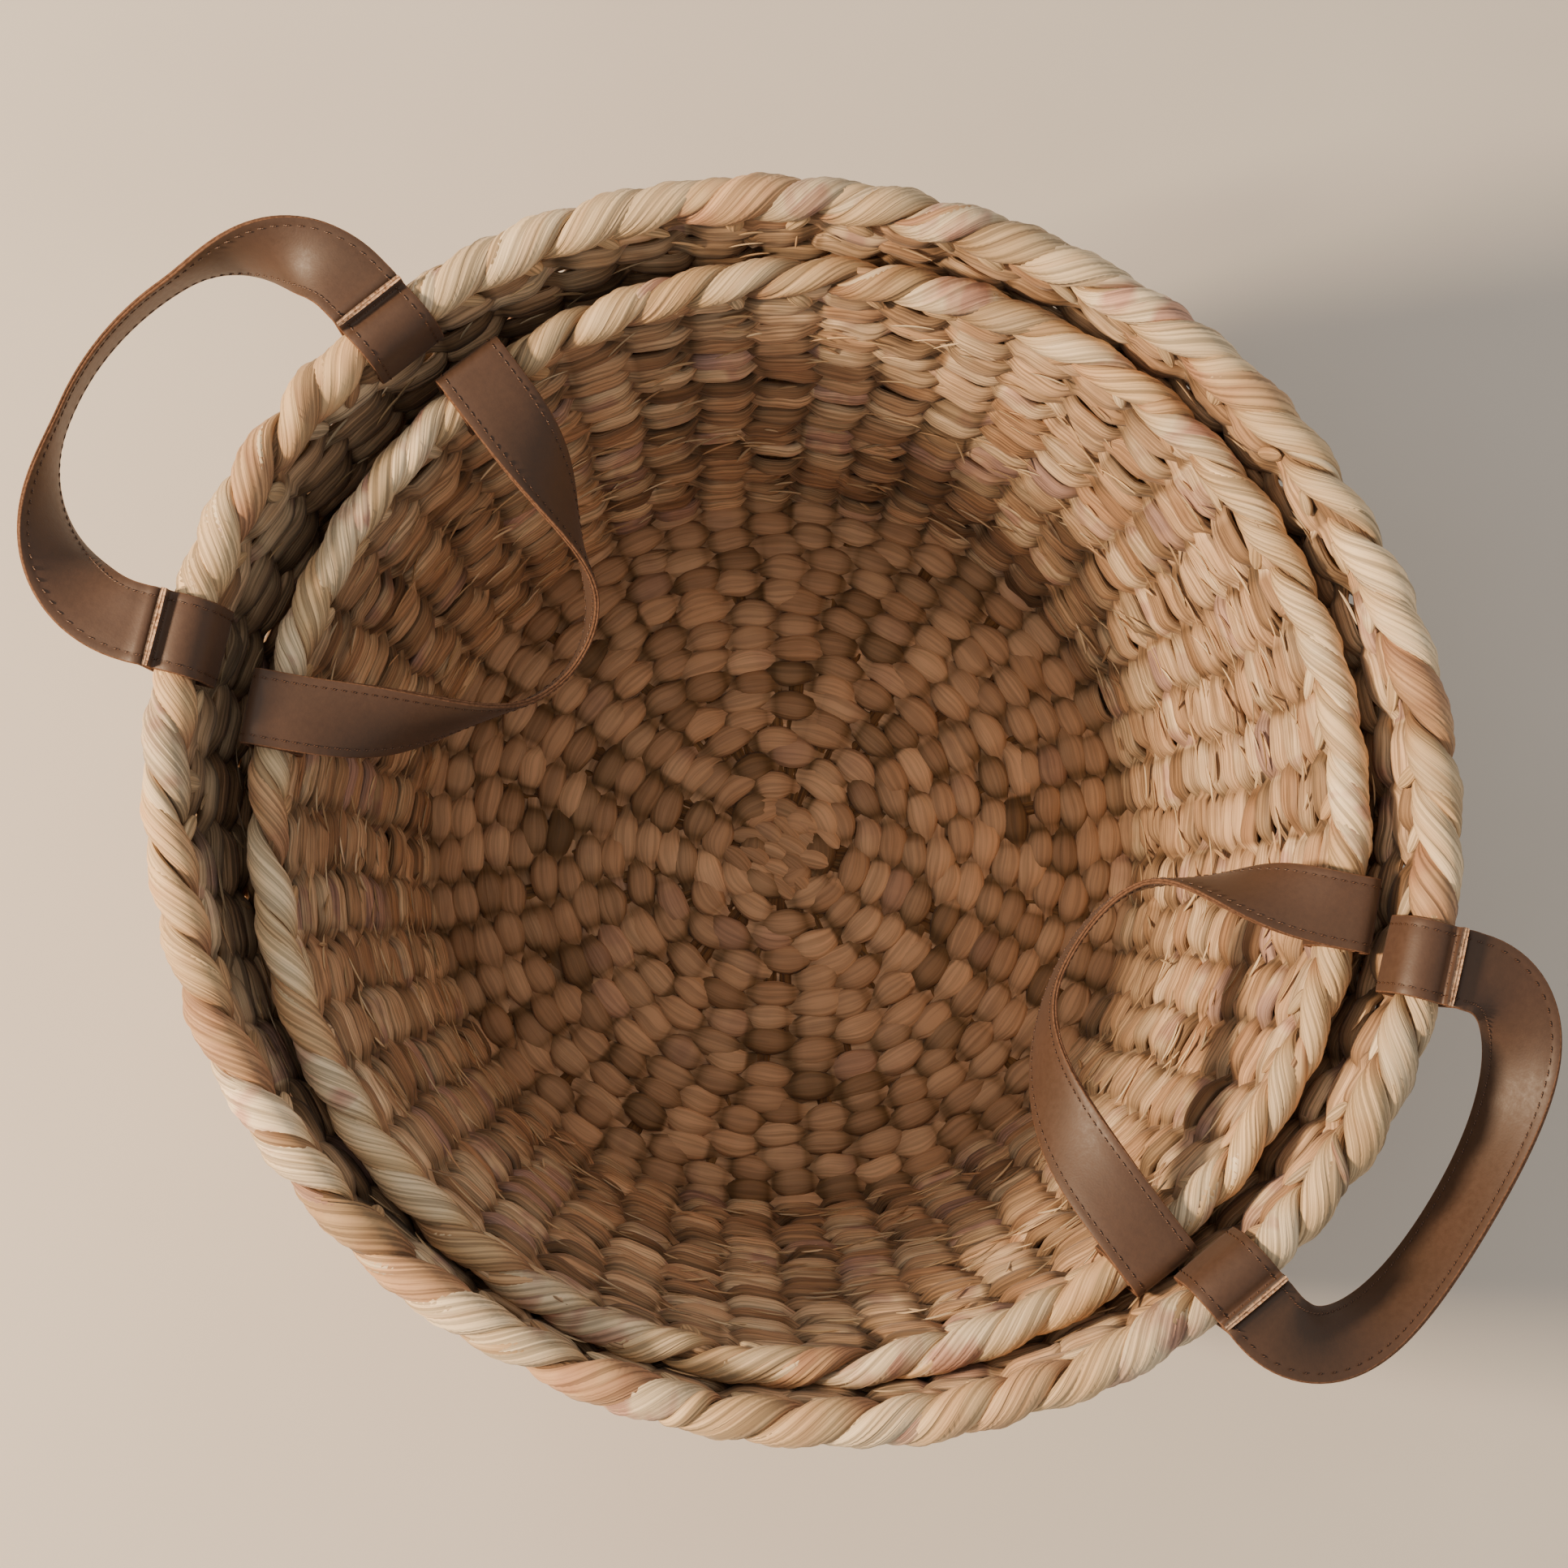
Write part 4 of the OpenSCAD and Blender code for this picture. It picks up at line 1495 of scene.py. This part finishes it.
        count = len(middle)
        u = np.broadcast_to(self.strap.stitch_length / 2 * t, (count, len(t)))
        v = np.linspace(0, 3 * self.strap.thread, len(turn) + 1)
        none = np.zeros((1, 1, 1))
        mesh.add(self.place(points), u, v, none, none, flip=True)
        piece = mesh.build(f"{self.form.name}_{self.side}_stitching", [self.materials["thread"]])
        start = f"{self.form.name}_{self.side}"
        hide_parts(f"{start}_handle_thread", f"{start}_loops_thread")
        self.bend_with_handle(piece)

    def cross_seams(self, length: float) -> List[Tuple[float, int]]:
        """Where the seams across the strap lie, from its raw end, and on which face.

        Args:
            length: Length of the whole strap.

        Returns:
            Pairs of distance along the strap and face, 1 for the outer one.
        """
        inset = 5 * MM
        return [(inset, 1), (length - inset, 1)]

    def make(self) -> None:
        """Makes both plies and the stitching."""
        gap, half = self.strap.ply_gap / 2, self.strap.thickness / 2
        start = f"{self.form.name}_{self.side}_strap"
        self.make_ply(f"{start}_face", gap, half, "grain", "face")
        self.make_ply(f"{start}_back", -gap, -half, "back", "lining")
        self.make_stitching()


# --- Stage -----------------------------------------------------------------------------


@dataclass(frozen=True)
class Studio:
    """A plain pale floor, soft light and a camera that looks down into the baskets."""

    camera_place: Tuple[float, float, float] = (0.009, -0.114, 1.470)
    camera_target: Tuple[float, float, float] = (-0.011, 0.0025, 0.273)
    picture_up: float = math.radians(121.5)
    lens: float = 70.2
    floor_half: float = 3.0

    def make_camera(self) -> None:
        """Adds the camera, turned so that the picture's up is at the given angle."""
        data = bpy.data.cameras.new("camera")
        data.lens = self.lens
        data.sensor_width = 36.0
        data.clip_end = 20.0
        camera = bpy.data.objects.new("camera", data)
        bpy.context.scene.collection.objects.link(camera)
        place, target = Vector(self.camera_place), Vector(self.camera_target)
        ahead = (target - place).normalized()
        up_hint = Vector((math.cos(self.picture_up), math.sin(self.picture_up), 0.0))
        right = ahead.cross(up_hint).normalized()
        up = right.cross(ahead)
        turned = Matrix((right, up, -ahead)).transposed().to_4x4()
        camera.matrix_world = Matrix.Translation(place) @ turned
        bpy.context.scene.camera = camera

    def make_floor(self, colour: str = "#d9d2c8") -> None:
        """Adds the floor, a painted plain board with a faint mottle."""
        material, tree, shader = new_material("floor_paint")
        place = add_node(tree, "TexCoord").outputs["Object"]
        mottle = add_node(
            tree, "TexNoise", None, {"Vector": place, "Scale": 6.0, "Detail": 4.0}
        ).outputs["Fac"]
        ramp = add_node(tree, "ValToRGB", None, {"Fac": mottle})
        set_ramp(ramp, ((0.3, colour), (0.7, "#ddd7cd")))
        tree.links.new(ramp.outputs["Color"], shader.inputs["Base Color"])
        shader.inputs["Roughness"].default_value = 0.8
        mesh = bpy.data.meshes.new("floor")
        half, depth = self.floor_half, -0.6 * MM
        corners = [
            (-half, -half, depth),
            (half, -half, depth),
            (half, half, depth),
            (-half, half, depth),
        ]
        mesh.from_pydata(corners, [], [(0, 1, 2, 3)])
        mesh.materials.append(material)
        floor = bpy.data.objects.new("floor", mesh)
        bpy.context.scene.collection.objects.link(floor)

    def add_light(
        self,
        name: str,
        azimuth: float,
        elevation: float,
        distance: float,
        size: float,
        power: float,
        colour: str,
    ) -> None:
        """Adds a square soft light that looks at the baskets.

        Args:
            name: The light's name.
            azimuth: Its direction round the Z axis, in degrees.
            elevation: Its height above the horizon, in degrees.
            distance: Its distance from the baskets.
            size: Its side.
            power: Its power in watts.
            colour: Its sRGB hex colour.
        """
        data = bpy.data.lights.new(name, "AREA")
        data.size = size
        data.energy = power
        data.color = linear(colour)[:3]
        light = bpy.data.objects.new(name, data)
        turn, rise = math.radians(azimuth), math.radians(elevation)
        away = Vector(
            (math.cos(turn) * math.cos(rise), math.sin(turn) * math.cos(rise), math.sin(rise))
        )
        light.location = Vector((0.0, 0.0, 0.2)) + away * distance
        light.rotation_mode = "QUATERNION"
        light.rotation_quaternion = away.to_track_quat("Z", "Y")
        bpy.context.scene.collection.objects.link(light)

    def make_light(self) -> None:
        """Adds a warm low key light, a soft one overhead, and a dim sky."""
        self.add_light("key_light", 216.0, 31.0, 2.8, 0.4, 160.0, "#ffdfba")
        self.add_light("top_light", 190.0, 66.0, 2.6, 2.4, 9.0, "#fff1e2")
        world = bpy.data.worlds.new("studio_sky")
        world.use_nodes = True
        sky = world.node_tree.nodes["Background"]
        sky.inputs["Color"].default_value = linear("#f0ebe6")
        sky.inputs["Strength"].default_value = 0.6
        bpy.context.scene.world = world

    def make(self) -> None:
        """Makes the whole stage."""
        self.make_camera()
        self.make_floor()
        self.make_light()


# --- Main ------------------------------------------------------------------------------


def main() -> None:
    """Builds the stage, both baskets and their four handles."""
    logging.basicConfig(level=logging.INFO, format="%(name)s: %(message)s")
    Studio().make()
    materials = {
        "weft": WEFT_FIBRE.build(),
        "base": BASE_FIBRE.build(),
        "border": BORDER_FIBRE.build(),
        "stake": STAKE_FIBRE.build(),
        "grain": GRAIN_LEATHER.build(),
        "back": BACK_LEATHER.build(),
        "side": LONG_EDGE.build(),
        "edge": CUT_EDGE.build(),
        "thread": SEWING_THREAD.build(),
    }
    large_loop, small_loop = math.radians(17), math.radians(21)
    large = BasketForm.from_frame(
        "large", 17 * MM, 21 * MM, 54, oval=7 * MM, oval_angle=math.radians(6), lean=(0.0, 0.0),
        loop_angle=large_loop,
    )
    small = BasketForm.from_frame(
        "small", 14 * MM, 18 * MM, 48, oval=1 * MM, oval_angle=math.radians(120), lean=(4.5 * MM, -1 * MM),
        loop_angle=small_loop,
    )
    Basket(large, "large_basket", 11, materials, border_swell=1.5 * MM).make()
    Basket(small, "small_basket", 23, materials, border_swell=1.6 * MM).make()
    strap = Strap()
    handles = (
        (
            large,
            "left",
            Flop.OUT,
            HandleShape(large_loop, 83 * MM, 34 * MM, 97.0, 0.48, 0.6, peak=-0.12, hold=1.35),
        ),
        (
            large,
            "right",
            Flop.OUT,
            HandleShape(large_loop, 52 * MM, 24 * MM, 54.0, 0.3, 1.0, -3 * MM),
        ),
        (
            small,
            "left",
            Flop.IN,
            HandleShape(small_loop, 91 * MM, 54 * MM, 98.0, 0.55, 0.42, -7 * MM, hold=1.4),
        ),
        (
            small,
            "right",
            Flop.IN,
            HandleShape(small_loop, 86 * MM, 50 * MM, 92.0, 0.55, 0.66, 11 * MM, 0.2, 1.3),
        ),
    )
    for form, side, flop, shape in handles:
        StrapHandle(form, side, flop, shape, strap, materials).make()


if __name__ == "__main__":
    main()
